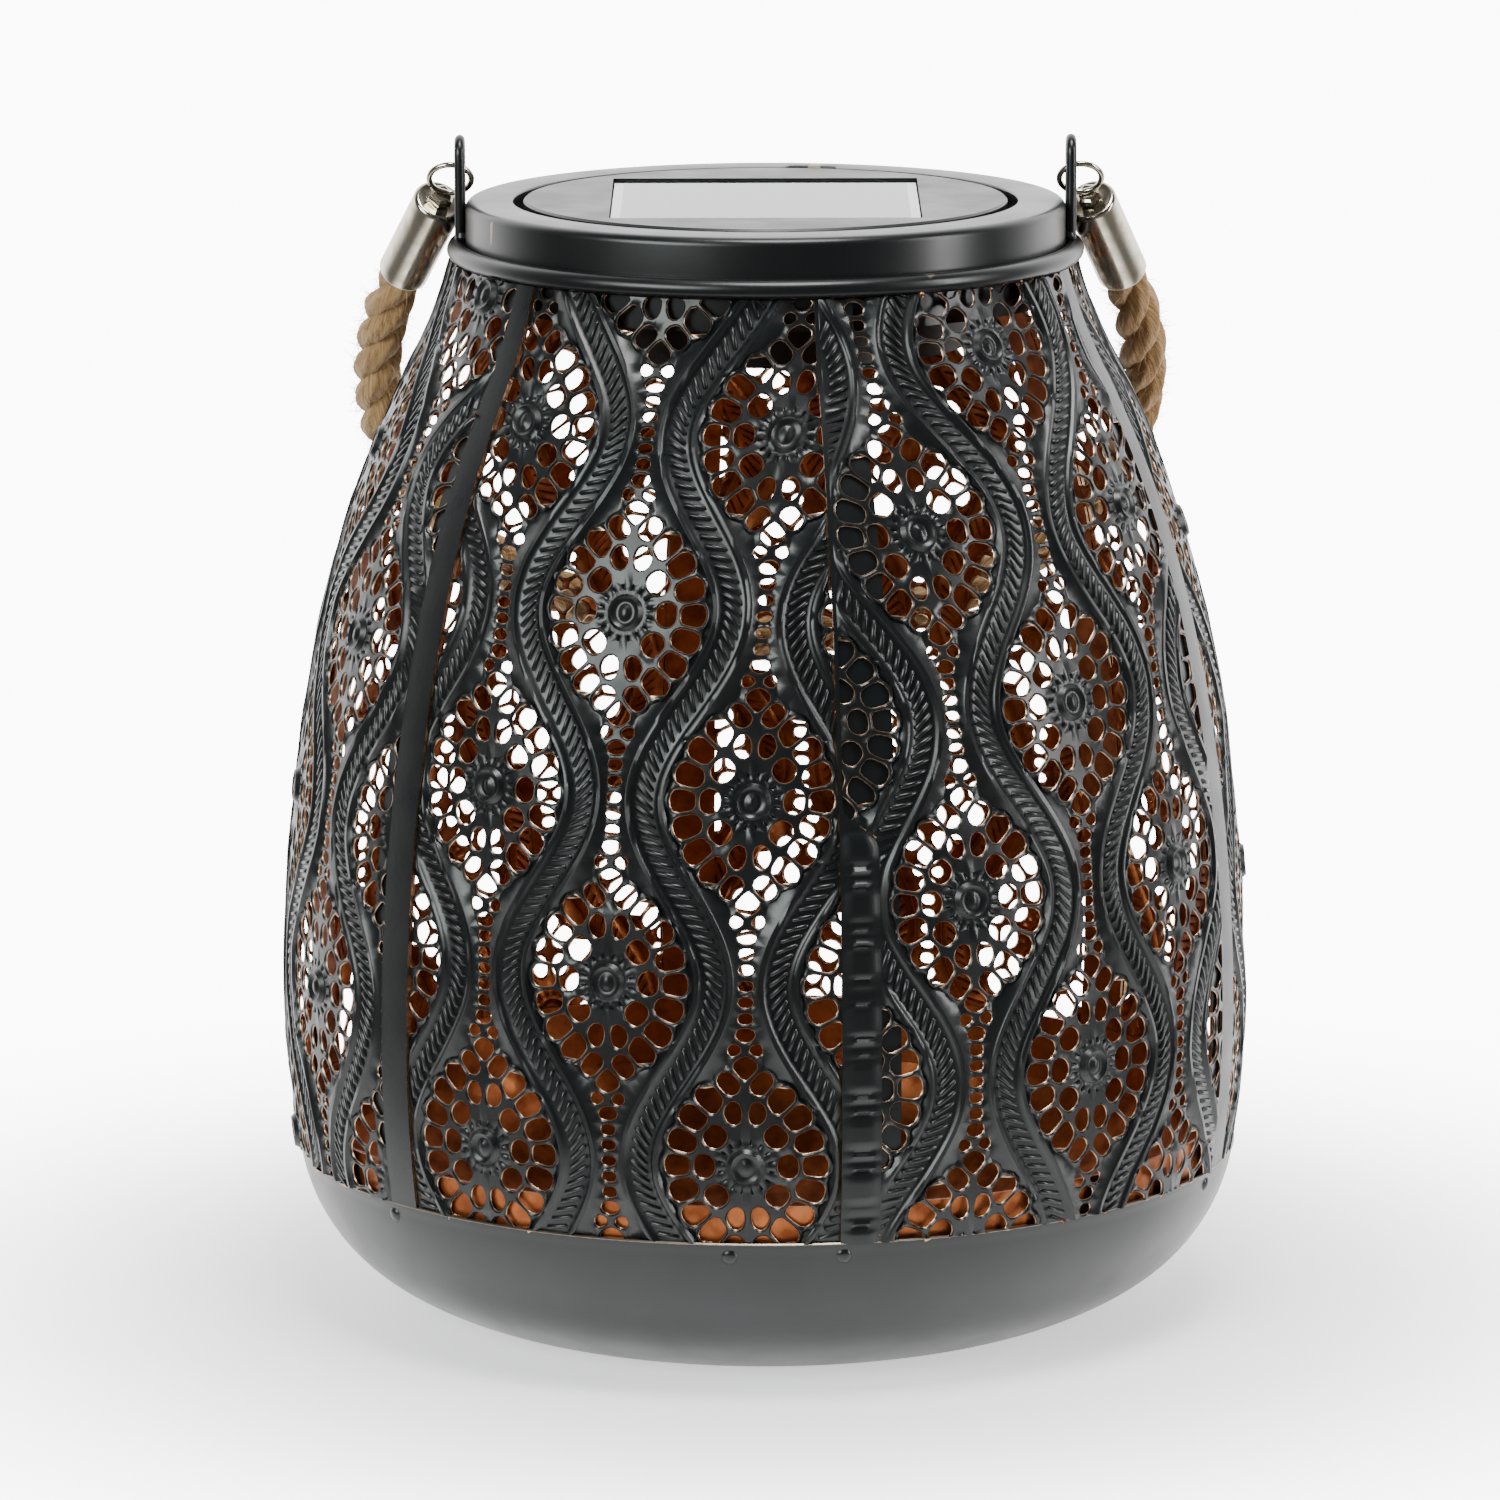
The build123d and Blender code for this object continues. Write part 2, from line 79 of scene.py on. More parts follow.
def linear(colour: str) -> tuple[float, float, float, float]:
    """Turn an sRGB hex colour into the linear colour that a shader takes."""
    shares = [int(colour[i : i + 2], 16) / 255 for i in (1, 3, 5)]
    red, green, blue = [c / 12.92 if c <= 0.04045 else ((c + 0.055) / 1.055) ** 2.4 for c in shares]
    return red, green, blue, 1.0


def smoothstep(low: float, high: float, value: np.ndarray) -> np.ndarray:
    """Rise smoothly from 0 at low to 1 at high."""
    share = np.clip((np.asarray(value) - low) / (high - low), 0, 1)
    return share * share * (3 - 2 * share)


# ------------------------------------------------------------------ finishes


@dataclass(frozen=True)
class Finish:
    """A finish with two mottled tones, a gloss that varies with them, and a fine bumpy grain.

    Attributes:
        name: the real material and how its surface was made.
        tone: the main colour.
        second_tone: the colour of the patches.
        patch: the patches' size in mm.
        roughness: the glossiest and the dullest roughness.
        metallic: 1 for a bare metal.
        ior: the index of refraction, left alone on a metal.
        grain: the bumps' size in mm.
        depth: the bumps' depth in mm.
        coat: the weight of a clear coat.
        sheen: the weight of fibre sheen.
        transmission: how clear the body is.
    """

    name: str
    tone: str
    second_tone: str
    patch: float = 6.0
    roughness: tuple[float, float] = (0.35, 0.5)
    metallic: float = 0.0
    ior: float = 1.5
    grain: float = 0.8
    depth: float = 0.01
    coat: float = 0.0
    sheen: float = 0.0
    transmission: float = 0.0

    def start(self, place: bpy.types.NodeSocket, tree: bpy.types.NodeTree) -> dict[str, bpy.types.NodeSocket]:
        """Make the mottling, and return the sockets for colour, roughness and bump height."""
        patches = add_node(
            tree, "ShaderNodeTexNoise", {"Vector": place, "Scale": 1 / (self.patch * MM), "Detail": 4.0}
        )
        share = add_node(tree, "ShaderNodeMapRange", {"Value": patches, "From Min": 0.35, "From Max": 0.65})
        colour = add_node(
            tree,
            "ShaderNodeMix",
            {0: share, 6: linear(self.tone), 7: linear(self.second_tone)},
            data_type="RGBA",
        )
        gloss = add_node(
            tree,
            "ShaderNodeMapRange",
            {"Value": patches, "From Min": 0.3, "From Max": 0.7, "To Min": self.roughness[0],
             "To Max": self.roughness[1]},
        )
        bumps = add_node(
            tree, "ShaderNodeTexNoise", {"Vector": place, "Scale": 1 / (self.grain * MM), "Detail": 2.0}
        )
        return {"colour": colour.outputs[2], "gloss": gloss.outputs[0], "height": bumps.outputs[0]}

    def finish(self, tree: bpy.types.NodeTree, shader: bpy.types.Node, parts: dict) -> None:
        """Hook for what a finish adds to its shader after the mottling."""

    def place(self, tree: bpy.types.NodeTree) -> bpy.types.NodeSocket:
        """Return the coordinates that the pattern follows: the object's own."""
        return add_node(tree, "ShaderNodeTexCoord").outputs["Object"]

    @cache
    def material(self) -> bpy.types.Material:
        """Make the material once, and return it."""
        made = bpy.data.materials.new(self.name)
        made.use_nodes = True
        tree = made.node_tree
        shader = tree.nodes["Principled BSDF"]
        parts = self.start(self.place(tree), tree)
        tree.links.new(parts["colour"], shader.inputs["Base Color"])
        tree.links.new(parts["gloss"], shader.inputs["Roughness"])
        bump = add_node(tree, "ShaderNodeBump", {"Height": parts["height"], "Distance": self.depth * MM})
        tree.links.new(bump.outputs[0], shader.inputs["Normal"])
        shader.inputs["Metallic"].default_value = self.metallic
        shader.inputs["Coat Weight"].default_value = self.coat
        shader.inputs["Sheen Weight"].default_value = self.sheen
        shader.inputs["Transmission Weight"].default_value = self.transmission
        if self.metallic < 1:
            shader.inputs["IOR"].default_value = self.ior
        self.finish(tree, shader, parts)
        return made


@dataclass(frozen=True)
class WornAndHighlightedPaint(Finish):
    """Paint that gives way to a pale metal tone where a mesh attribute is high: rubbed-through paint in
    places, and a painted highlight along edges in others.

    Attributes:
        bare_and_highlight_tone: the pale metal colour, also used as the painted highlight.
        wear_and_highlight_from: the attribute value at which the paint begins to give way to it.
    """

    bare_and_highlight_tone: str = "#d9a06c"
    wear_and_highlight_from: float = 0.45

    def finish(self, tree: bpy.types.NodeTree, shader: bpy.types.Node, parts: dict) -> None:
        """Mix the pale metal tone in along the marked edges: rubbed-through paint, and a painted highlight
        where an edge catches light.
        """
        wear = add_node(tree, "ShaderNodeAttribute", attribute_name="wear")
        ragged = add_node(
            tree,
            "ShaderNodeMath",
            {0: parts["height"], 1: 0.5, 2: wear.outputs["Fac"]},
            operation="MULTIPLY_ADD",
        )
        bare_and_highlight_share = add_node(
            tree,
            "ShaderNodeMapRange",
            {"Value": ragged, "From Min": self.wear_and_highlight_from + 0.25, "From Max": self.wear_and_highlight_from + 0.4},
        )
        colour = add_node(
            tree,
            "ShaderNodeMix",
            {0: bare_and_highlight_share, 6: parts["colour"], 7: linear(self.bare_and_highlight_tone)},
            data_type="RGBA",
        )
        tree.links.new(colour.outputs[2], shader.inputs["Base Color"])
        tree.links.new(bare_and_highlight_share.outputs[0], shader.inputs["Metallic"])


@dataclass(frozen=True)
class FadingPaper(Finish):
    """White backdrop paper, lit from below, that fades into the white room away from its middle.

    Attributes:
        fade_from: the distance from the middle, in metres, from which it thins out.
        fade_to: the distance at which nothing of it is left.
        glow: the strength of its own light.
    """

    fade_from: float = 0.09
    fade_to: float = 0.27
    glow: float = 0.9

    def finish(self, tree: bpy.types.NodeTree, shader: bpy.types.Node, parts: dict) -> None:
        """Thin the paper out with the distance from the middle."""
        away = add_node(tree, "ShaderNodeVectorMath", {0: self.place(tree)}, operation="LENGTH")
        left = add_node(
            tree,
            "ShaderNodeMapRange",
            {"Value": away.outputs["Value"], "From Min": self.fade_to, "From Max": self.fade_from},
            interpolation_type="SMOOTHSTEP",
        )
        tree.links.new(left.outputs[0], shader.inputs["Alpha"])
        shader.inputs["Emission Color"].default_value = (1.0, 1.0, 1.0, 1.0)
        shader.inputs["Emission Strength"].default_value = self.glow


@dataclass(frozen=True)
class TwistedFibre(Finish):
    """Spun plant fibre: pale and dark yarns that wind along the strand's own UV map."""

    yarns: float = 7.0
    lay: float = 0.018

    def place(self, tree: bpy.types.NodeTree) -> bpy.types.NodeSocket:
        """Return the strand's UV map, whose first axis is the turn and second the length in metres."""
        return add_node(tree, "ShaderNodeUVMap", uv_map="strand").outputs[0]

    def start(self, place: bpy.types.NodeSocket, tree: bpy.types.NodeTree) -> dict[str, bpy.types.NodeSocket]:
        """Wind fine streaks round the strand, and return the sockets."""
        split = add_node(tree, "ShaderNodeSeparateXYZ", {0: place})
        turned = add_node(
            tree, "ShaderNodeMath", {0: split.outputs[1], 1: 1 / self.lay, 2: split.outputs[0]},
            operation="MULTIPLY_ADD",
        )
        across = add_node(tree, "ShaderNodeMath", {0: turned, 1: self.yarns * 4}, operation="MULTIPLY")
        along = add_node(tree, "ShaderNodeMath", {0: split.outputs[1], 1: 160.0}, operation="MULTIPLY")
        streak_place = add_node(tree, "ShaderNodeCombineXYZ", {0: across, 1: along})
        streaks = add_node(
            tree,
            "ShaderNodeTexNoise",
            {"Vector": streak_place, "Scale": 1.0, "Detail": 5.0, "Roughness": 0.65},
        )
        share = add_node(tree, "ShaderNodeMapRange", {"Value": streaks, "From Min": 0.32, "From Max": 0.68})
        colour = add_node(
            tree,
            "ShaderNodeMix",
            {0: share, 6: linear(self.second_tone), 7: linear(self.tone)},
            data_type="RGBA",
        )
        gloss = add_node(
            tree,
            "ShaderNodeMapRange",
            {"Value": streaks, "To Min": self.roughness[0], "To Max": self.roughness[1]},
        )
        return {"colour": colour.outputs[2], "gloss": gloss.outputs[0], "height": streaks.outputs[0]}


@dataclass(frozen=True)
class PrintedCell(Finish):
    """A silicon cell with printed silver lines: fine fingers one way and a broad busbar the other.

    Attributes:
        finger_pitch: metres between fingers.
        busbar_at: the busbar's place across the cell, in metres from its middle.
    """

    finger_pitch: float = 0.0022
    busbar_at: float = -0.0155
    line_tone: str = "#c9ccd0"

    def finish(self, tree: bpy.types.NodeTree, shader: bpy.types.Node, parts: dict) -> None:
        """Print the silver lines over the blue-black cell."""
        place = self.place(tree)
        split = add_node(tree, "ShaderNodeSeparateXYZ", {0: place})
        wave = add_node(
            tree, "ShaderNodeMath", {0: split.outputs[1], 1: self.finger_pitch}, operation="PINGPONG"
        )
        finger = add_node(tree, "ShaderNodeMath", {0: wave, 1: 0.00011}, operation="LESS_THAN")
        offset = add_node(
            tree, "ShaderNodeMath", {0: split.outputs[0], 1: self.busbar_at, 2: 0.0007}, operation="COMPARE"
        )
        line = add_node(tree, "ShaderNodeMath", {0: finger, 1: offset}, operation="MAXIMUM")
        colour = add_node(
            tree,
            "ShaderNodeMix",
            {0: line, 6: parts["colour"], 7: linear(self.line_tone)},
            data_type="RGBA",
        )
        tree.links.new(colour.outputs[2], shader.inputs["Base Color"])


class Finishes(Enum):
    """Every finish of the lantern."""

    # Pressed and painted iron: near-black semi-gloss, with a pale warm metal tone round every punched hole,
    # partly rubbed-through paint and partly a painted highlight where the turned-in edge catches light
    BLACK_PAINT = WornAndHighlightedPaint(
        "iron_pressed_black_paint", "#111415", "#0b0c0d", patch=9.0, roughness=(0.27, 0.38), grain=1.1,
        depth=0.018, bare_and_highlight_tone="#b8967a", wear_and_highlight_from=0.62,
    )
    # Spun iron with satin black paint: smoother and a little duller than the pressed sheet; its pale metal
    # tone marks chips on the collar and paints a highlight round the bowl's lip
    SATIN_BLACK = WornAndHighlightedPaint(
        "iron_spun_satin_black", "#0f1012", "#0a0b0c", patch=14.0, roughness=(0.28, 0.36), grain=0.9,
        depth=0.006, bare_and_highlight_tone="#80766a",
    )
    # Copper-coloured lacquer sprayed inside: warm, metallic, with darker patches where it is thin
    COPPER_LACQUER = Finish(
        "iron_sprayed_copper_lacquer", "#b0673a", "#7d3f1c", patch=5.0, roughness=(0.3, 0.5), metallic=0.8,
        grain=0.5, depth=0.015,
    )
    # The cut through the sheet: bare metal, warm and a little dull
    CUT_EDGE = Finish(
        "iron_punched_bare_edge", "#c4a283", "#86664a", patch=1.5, roughness=(0.25, 0.42), metallic=1.0,
        grain=0.3, depth=0.01,
    )
    # Drawn brass with nickel plate: a warm mirror with fine handling marks
    NICKEL = Finish(
        "brass_drawn_nickel_plate", "#d9d2c2", "#bdb29d", patch=3.0, roughness=(0.12, 0.26), metallic=1.0,
        grain=0.35, depth=0.006,
    )
    # Spun jute: dry pale-gold fibre with darker streaks
    JUTE = TwistedFibre(
        "jute_twisted_strand", "#d3ab74", "#8a6238", roughness=(0.8, 0.95), sheen=0.25, depth=0.35,
    )
    JUTE_FUZZ = Finish(
        "jute_loose_fibre", "#d9b684", "#b08a58", patch=4.0, roughness=(0.75, 0.9), sheen=0.3, depth=0.0,
    )
    # Injection-moulded ABS, spark-eroded finish: dull black with a fine even grain
    BLACK_ABS = Finish(
        "abs_moulded_black", "#121315", "#0e0f10", patch=12.0, roughness=(0.34, 0.46), ior=1.53, grain=0.5,
        depth=0.008,
    )
    # Cast clear epoxy over the cell: glassy
    CLEAR_RESIN = Finish(
        "epoxy_cast_clear", "#f4f7f8", "#edf1f2", patch=30.0, roughness=(0.02, 0.05), ior=1.52, grain=9.0,
        depth=0.01, transmission=1.0,
    )
    # Diffused silicon wafer: blue-black under printed silver
    SILICON = PrintedCell(
        "silicon_wafer_printed", "#1c2130", "#232a3d", patch=5.0, roughness=(0.25, 0.35), grain=2.0,
        depth=0.0,
    )
    # Glass-fibre laminate with green solder mask
    LAMINATE = Finish(
        "glass_laminate_solder_mask", "#1f5a38", "#18492d", patch=4.0, roughness=(0.3, 0.42), ior=1.55,
        grain=0.7, depth=0.012, coat=0.3,
    )
    # Moulded silicone rubber: soft black with bloom
    RUBBER = Finish(
        "silicone_rubber_moulded", "#2a2a2b", "#222223", patch=3.0, roughness=(0.65, 0.8), ior=1.41,
        grain=0.4, depth=0.01,
    )
    # Zinc-plated steel, tumbled: bright with a cool grey cast
    ZINC = Finish(
        "steel_zinc_plate", "#c3c6c8", "#9da2a6", patch=0.8, roughness=(0.22, 0.42), metallic=1.0, grain=0.2,
        depth=0.006,
    )
    # Shrunk PVC sleeve on the rechargeable cell: glossy green
    SLEEVE = Finish(
        "pvc_shrunk_sleeve", "#3f7d4c", "#35703f", patch=11.0, roughness=(0.18, 0.3), ior=1.54, grain=4.0,
        depth=0.03, coat=0.4,
    )
    # Tinned copper wire: soft silver
    TINNED_COPPER = Finish(
        "copper_tinned_wire", "#c9c4bb", "#a89f92", patch=1.0, roughness=(0.25, 0.4), metallic=1.0, grain=0.3,
        depth=0.005,
    )
    # Paper sweep, lit from below: pure white that fades out before its edge can be seen
    SEAMLESS_PAPER = FadingPaper(
        "paper_seamless_white", "#fbfbfb", "#f7f7f7", patch=90.0, roughness=(0.7, 0.8), grain=2.0,
        depth=0.0,
    )
    # Cast warm-white lamp lens: milky clear epoxy
    LAMP_EPOXY = Finish(
        "epoxy_cast_lamp", "#f3ead0", "#eadfbc", patch=2.0, roughness=(0.05, 0.12), ior=1.54, grain=2.0,
        depth=0.01, transmission=0.75,
    )

    def __call__(self) -> bpy.types.Material:
        """Return the finish's material."""
        return self.value.material()


# ------------------------------------------------------------------ meshes


def new_object(name: str, data: bpy.types.ID | None) -> bpy.types.Object:
    """Put a new object at the origin of the scene."""
    made = bpy.data.objects.new(name, data)
    bpy.context.scene.collection.objects.link(made)
    return made


def shade(mesh: bpy.types.Mesh, sharp: float = 38.0) -> None:
    """Smooth a mesh's faces, apart from edges sharper than an angle in degrees."""
    mesh.polygons.foreach_set("use_smooth", [True] * len(mesh.polygons))
    mesh.set_sharp_from_angle(angle=math.radians(sharp))
    mesh.update()


def mesh_object(
    name: str,
    points: Iterable[Sequence[float]],
    faces: Iterable[Sequence[int]],
    finish: Finishes,
    sharp: float = 38.0,
) -> bpy.types.Object:
    """Make a closed mesh with its doubles merged and its faces outwards.

    Args:
        name: the piece's name.
        points: its corners, in metres.
        faces: the corners of each face.
        finish: what it is finished in.
        sharp: the angle in degrees from which an edge looks sharp.

    Returns:
        The object, at the origin.
    """
    mesh = bpy.data.meshes.new(name)
    mesh.from_pydata([tuple(float(x) for x in p) for p in points], [], [list(f) for f in faces])
    merge_and_turn(mesh)
    mesh.materials.append(finish())
    shade(mesh, sharp)
    return new_object(name, mesh)


def merge_and_turn(mesh: bpy.types.Mesh) -> None:
    """Merge a mesh's doubles, drop what has no area and point its faces outwards."""
    work = bmesh.new()
    work.from_mesh(mesh)
    bmesh.ops.remove_doubles(work, verts=work.verts, dist=0.002 * MM)
    bmesh.ops.dissolve_degenerate(work, edges=work.edges, dist=0.001 * MM)
    bmesh.ops.recalc_face_normals(work, faces=work.faces)
    work.to_mesh(mesh)
    work.free()


def bake_modifiers(piece: bpy.types.Object) -> bpy.types.Object:
    """Turn an object and its modifiers into a plain mesh."""
    graph = bpy.context.evaluated_depsgraph_get()
    plain = bpy.data.meshes.new_from_object(piece.evaluated_get(graph), depsgraph=graph)
    piece.modifiers.clear()
    piece.data = plain
    plain.name = piece.name
    return piece


def arc(centre: Point, radius: float, start: float, end: float, steps: int = 8) -> list[Point]:
    """Return the points of an arc of a section, in degrees from outward towards up."""
    angles = np.radians(np.linspace(start, end, steps + 1))
    return [(centre[0] + radius * math.cos(a), centre[1] + radius * math.sin(a)) for a in angles]


def lathe(
    section: Sequence[Point],
    turns: int = 192,
    reshape: Callable[[float, float, float], Point] | None = None,
) -> tuple[list[tuple[float, float, float]], list[list[int]]]:
    """Turn a closed section about the upright axis.

    Args:
        section: the section's corners as (radius, height), in order all the way round.
        turns: how many steps the turn has.
        reshape: changes (azimuth, radius, height) into the corner's own (radius, height).

    Returns:
        The corners and the faces.
    """
    points, faces, count = [], [], len(section)
    for turn in range(turns):
        azimuth = 2 * math.pi * turn / turns
        for radius, height in section:
            r, z = reshape(azimuth, radius, height) if reshape else (radius, height)
            points.append((r * math.sin(azimuth), -r * math.cos(azimuth), z))
        for i in range(count):
            j = (i + 1) % count
            k, m = turn * count, (turn + 1) % turns * count
            faces.append([k + i, k + j, m + j, m + i])
    return points, faces


def turned_to(
    points: Iterable[Sequence[float]], origin: Vector, along: Vector
) -> list[tuple[float, float, float]]:
    """Move points made about +Z so that +Z lies along a direction and the origin at a place."""
    turn = UP.rotation_difference(along)
    return [tuple(turn @ Vector(p) + origin) for p in points]


def frames(path: np.ndarray, closed: bool = False) -> tuple[np.ndarray, np.ndarray]:
    """Carry a pair of directions square to a path along it, with no twist.

    Args:
        path: the points.
        closed: whether the path's ends join.

    Returns:
        The two directions at each point.
    """
    ahead = np.roll(path, -1, axis=0) - np.roll(path, 1, axis=0)
    if not closed:
        ahead[0], ahead[-1] = path[1] - path[0], path[-1] - path[-2]
    ahead /= np.linalg.norm(ahead, axis=1)[:, None]
    side = np.cross(ahead[0], np.eye(3)[np.argmin(np.abs(ahead[0]))])
    sides = []
    for heading in ahead:
        side = side - heading * (side @ heading)
        side = side / np.linalg.norm(side)
        sides.append(side)
    first = np.array(sides)
    return first, np.cross(ahead, first)


def tube(
    path: np.ndarray, radius: np.ndarray | float, sides: int = 14, closed: bool = False
) -> tuple[np.ndarray, list[list[int]]]:
    """Sweep a circle along a path.

    Args:
        path: the points.
        radius: one radius, one for each point, or one for each point and side.
        sides: how many sides the tube has.
        closed: whether the path's ends join. Open ends are capped.

    Returns:
        The corners and the faces.
    """
    first, second = frames(path, closed)
    turns = np.arange(sides) * 2 * math.pi / sides
    reach = np.asarray(radius, float)
    reach = reach[:, None] if reach.ndim == 1 else reach
    reach = np.broadcast_to(reach, (len(path), sides))[..., None]
    ring = first[:, None] * np.cos(turns)[None, :, None] + second[:, None] * np.sin(turns)[None, :, None]
    points = (path[:, None] + ring * reach).reshape(-1, 3)
    faces = []
    for i in range(len(path) if closed else len(path) - 1):
        low, high = i * sides, (i + 1) % len(path) * sides
        for j in range(sides):
            k = (j + 1) % sides
            faces.append([low + j, low + k, high + k, high + j])
    if not closed:
        faces += [list(range(sides))[::-1], list(range(len(points) - sides, len(points)))]
    return points, faces


def set_wear_and_highlight(piece: bpy.types.Object, worn_and_highlighted: Callable[[np.ndarray], np.ndarray]) -> None:
    """Give a mesh its attribute for the pale metal tone, rubbed-through paint and painted highlight, worked
    out from its corners' places.
    """
    spots = np.array([v.co for v in piece.data.vertices])
    attribute = piece.data.attributes.new("wear", "FLOAT", "POINT")
    attribute.data.foreach_set("value", np.asarray(worn_and_highlighted(spots), np.float32))


def dress_where(
    piece: bpy.types.Object, finish: Finishes, test: Callable[[np.ndarray, np.ndarray], np.ndarray]
) -> None:
    """Give another finish to the faces whose middles and normals pass a test."""
    piece.data.materials.append(finish())
    slot = len(piece.data.materials) - 1
    middles = np.array([f.center for f in piece.data.polygons])
    normals = np.array([f.normal for f in piece.data.polygons])
    for face, chosen in zip(piece.data.polygons, test(middles, normals)):
        if chosen:
            face.material_index = slot


def join(name: str, parts: Sequence[bpy.types.Object]) -> bpy.types.Object:
    """Join mesh objects at the origin into one, under a new name, with all their finishes."""
    work = bmesh.new()
    materials: list[bpy.types.Material] = []
    for part in parts:
        before = len(work.faces)
        work.from_mesh(part.data)
        work.faces.ensure_lookup_table()
        slots = []
        for material in part.data.materials:
            if material not in materials:
                materials.append(material)
            slots.append(materials.index(material))
        for face in work.faces[before:]:
            face.material_index = slots[min(face.material_index, len(slots) - 1)]
        bpy.data.objects.remove(part)
    mesh = bpy.data.meshes.new(name)
    work.to_mesh(mesh)
    work.free()
    for material in materials:
        mesh.materials.append(material)
    return new_object(name, mesh)


def set_inputs(modifier: bpy.types.NodesModifier, values: dict[str, object]) -> None:
    """Set a Geometry Nodes modifier's named inputs by their sockets' identifiers."""
    for item in modifier.node_group.interface.items_tree:
        if item.item_type == "SOCKET" and item.in_out == "INPUT" and item.name in values:
            modifier[item.identifier] = values[item.name]


def geometry_tree(name: str, inputs: Sequence[tuple[str, str]]) -> tuple[bpy.types.NodeTree, bpy.types.Node]:
    """Start a Geometry Nodes tree.

    Args:
        name: the tree's name.
        inputs: the name and socket kind of each input after the geometry.

    Returns:
        The tree and its input node.
    """
    tree = bpy.data.node_groups.new(name, "GeometryNodeTree")
    tree.interface.new_socket("Geometry", in_out="INPUT", socket_type="NodeSocketGeometry")
    tree.interface.new_socket("Geometry", in_out="OUTPUT", socket_type="NodeSocketGeometry")
    for label, kind in inputs:
        tree.interface.new_socket(label, in_out="INPUT", socket_type=f"NodeSocket{kind}")
    return tree, tree.nodes.new("NodeGroupInput")


# ------------------------------------------------------------------ studio


@dataclass
class Studio:
    """The camera, a pale seamless floor and soft lights round the lantern.

    Attributes:
        aim: what the camera looks at.
        distance: how far in front of it the camera stands.
        rise: how far above it the camera stands.
        lens: the focal length in mm.
        lean: the camera's turn about its own line of sight.
        room_light: the strength of the light that comes from every side.
        rear_light: what the bright wall behind adds to it.
        ground_light: what the ground adds to it, where the wall doesn't add more.
        backdrop_light: how bright the room looks to the camera itself.
        floor_reach: half the floor's side.
    """

    aim: Vector = field(default_factory=lambda: Vector((-0.00303, 0.0, 0.1033)))
    distance: float = 1.6014
    rise: float = 0.310
    lens: float = 209.4
    lean: float = math.radians(-0.1)
    room_light: float = 0.05
    rear_light: float = 3.0
    ground_light: float = 0.14
    backdrop_light: float = 11.0
    floor_reach: float = 0.6

    def place_camera(self) -> None:
        """Stand the camera in front, looking down a little, and lean it as the lantern leans."""
        camera = bpy.data.cameras.new("camera")
        camera.lens = self.lens
        camera.sensor_width = 36.0
        holder = new_object("camera", camera)
        holder.location = self.aim + Vector((0, -self.distance, self.rise))
        look = (self.aim - holder.location).to_track_quat("-Z", "Y")
        holder.rotation_mode = "QUATERNION"
        holder.rotation_quaternion = look @ Quaternion((0, 0, 1), self.lean)
        bpy.context.scene.camera = holder

    def light(self, name: str, place: Vector, size: Point, power: float, colour: str = "#ffffff") -> None:
        """Hang a rectangular soft light that faces the lantern's middle."""
        lamp = bpy.data.lights.new(name, "AREA")
        lamp.shape = "RECTANGLE"
        lamp.size, lamp.size_y = size
        lamp.energy = power
        lamp.color = linear(colour)[:3]
        holder = new_object(name, lamp)
        holder.location = place
        holder.rotation_euler = (Vector((0, 0, 0.1)) - place).to_track_quat("-Z", "Y").to_euler()

    def build(self) -> None:
        """Make the floor, the surrounding light and the lamps."""
        self.place_camera()
        world = bpy.data.worlds.new("white_room")
        world.use_nodes = True
        tree = world.node_tree
        way = add_node(
            tree, "ShaderNodeSeparateXYZ", {0: add_node(tree, "ShaderNodeTexCoord").outputs["Generated"]}
        )
        behind = add_node(
            tree,
            "ShaderNodeMapRange",
            {"Value": way.outputs[1], "From Min": 0.1, "From Max": 0.75, "To Max": self.rear_light},
            interpolation_type="SMOOTHSTEP",
        )
        below = add_node(
            tree,
            "ShaderNodeMapRange",
            {"Value": way.outputs[2], "From Min": 0.0, "From Max": -0.1, "To Max": self.ground_light},
            interpolation_type="SMOOTHSTEP",
        )
        both = add_node(tree, "ShaderNodeMath", {0: behind, 1: below}, operation="MAXIMUM")
        around = add_node(tree, "ShaderNodeMath", {0: both, 1: self.room_light}, operation="ADD")
        seen = add_node(tree, "ShaderNodeLightPath").outputs["Is Camera Ray"]
        strength = add_node(
            tree, "ShaderNodeMapRange", {"Value": seen, "To Min": around, "To Max": self.backdrop_light}
        )
        tree.links.new(strength.outputs[0], tree.nodes["Background"].inputs["Strength"])
        tree.nodes["Background"].inputs["Color"].default_value = (1.0, 1.0, 1.0, 1.0)
        bpy.context.scene.world = world
        self.light("key_left", Vector((-0.86, -1.0, 0.62)), (0.8, 0.6), 19.0, "#eef6f3")
        self.light("strip_right", Vector((1.2, -0.42, 0.4)), (0.14, 1.0), 11.0)
        self.light("top", Vector((0.1, -0.35, 1.3)), (0.5, 0.5), 16.0)
        reach = self.floor_reach
        corners = [(-reach, -reach, 0), (reach, -reach, 0), (reach, reach, 0), (-reach, reach, 0)]
        floor = mesh_object("floor", corners, [[0, 1, 2, 3]], Finishes.SEAMLESS_PAPER)


# ------------------------------------------------------------------ the shell's shape


